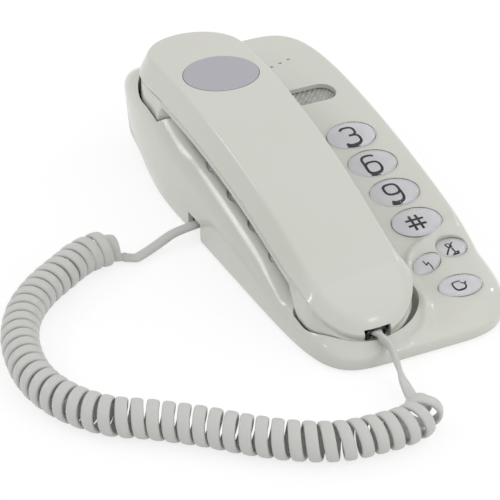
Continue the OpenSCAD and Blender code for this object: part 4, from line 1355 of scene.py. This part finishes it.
# %% Materials by node
finishes = {"base_back_cover": cover_white, "base_feet": rubber_grey, "keypad_mat": mat_rubber,
            "function_mat": mat_rubber, "main_board": board_green, "function_board": board_green,
            "hook_plunger": shell_white, "hook_switch": switch_black, "ringer_disc": brass,
            "base_cord_jack": dark_socket, "line_jack": dark_socket, "ringer_switch": switch_black,
            "receiver": switch_black, "microphone": steel, "handset_weight": steel,
            "handset_jack": dark_socket}
for name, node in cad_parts.items():
    for material_slot in node.material_slots:
        material_slot.material = finishes.get(name, shell_white)
print("finished", len(finishes), "construction nodes")

# %% [markdown]
# ## Floor and light
#
# The setting is a white studio. The floor is pale and takes the soft shadow, and camera rays see it
# brightened so that it runs into a white background. A broad even light from all round gives
# each colour as it is written, and five soft lamps add the narrow lights along the crests.

# %% The floor
floor_mesh = bpy.data.meshes.new("floor")
reach = 3.0
floor_mesh.from_pydata([(-reach, -reach, 0), (reach, -reach, 0), (reach, reach, 0), (-reach, reach, 0)],
                       [], [(0, 1, 2, 3)])
floor = linked("floor", floor_mesh)
floor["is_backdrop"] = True
pale, paler, glow_strength, glow_share = (0.84, 0.84, 0.84), (0.86, 0.86, 0.86), 1.08, 0.72
paint = Finish("floor_white", paler, 0.9)
paint.set("Base Color", paint.mixed(paint.noise(4, 1), paler, pale))
rays = paint.node("ShaderNodeLightPath", {}, {}).socket.node.outputs
camera_ray, glossy_ray, through_ray = (Signal(paint, rays[f"Is {kind} Ray"])
                                       for kind in ("Camera", "Glossy", "Transmission"))
seen = camera_ray + glossy_ray + through_ray
glow = paint.node("ShaderNodeEmission", {}, {"Strength": glow_strength})
lit = paint.node("ShaderNodeMixShader", {},
                 {0: seen * glow_share, 1: Signal(paint, paint.shader.outputs[0]), 2: glow})
paint.tree.links.new(lit.socket, paint.tree.nodes["Material Output"].inputs["Surface"])
floor_mesh.materials.append(paint.material)

# %% The studio light
world = bpy.data.worlds.new("studio")
bpy.context.scene.world = world
world.use_nodes = True
sky = world.node_tree.nodes["Background"]
sky.inputs["Color"].default_value = (1, 1, 1, 1)
paths = world.node_tree.nodes.new("ShaderNodeLightPath")
level = world.node_tree.nodes.new("ShaderNodeMapRange")
level.inputs["To Min"].default_value = 0.8
level.inputs["To Max"].default_value = 1.0
world.node_tree.links.new(paths.outputs["Is Camera Ray"], level.inputs["Value"])
world.node_tree.links.new(level.outputs[0], sky.inputs["Strength"])


def softbox(name, direction, distance, size, power):
    """A rectangular lamp, metres away from the telephone and turned towards it."""
    lamp = bpy.data.lights.new(name, "AREA")
    lamp.shape = "RECTANGLE"
    lamp.size, lamp.size_y = size
    lamp.energy = power
    thing = linked(name, lamp)
    aim = Vector(direction).normalized()
    thing.location = looks_at * MM + aim * distance
    thing.rotation_euler = (-aim).to_track_quat("-Z", "Y").to_euler()


softbox("left_strip", (-0.54, 0.53, 0.63), 1.3, (0.34, 0.16), 1.4)
softbox("left_lamp", (-0.75, -0.18, 0.62), 1.3, (0.12, 0.08), 0.5)
softbox("front_box", (0.42, -0.6, 0.68), 1.4, (1.3, 1.3), 3.2)
softbox("front_lamp", (0.37, -0.77, 0.52), 1.3, (0.14, 0.06), 0.4)
softbox("right_lamp", (0.83, 0.17, 0.54), 1.2, (0.14, 0.08), 0.8)
print("five soft lamps and an even sky")

sizes = {"cad": [list(v) for v in cad_bounds], "visual": [list(v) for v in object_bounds()]}
print("size change, mm:", [[round((b - a) / MM, 2) for a, b in zip(p, q)]
                           for p, q in zip(sizes["cad"], sizes["visual"])])
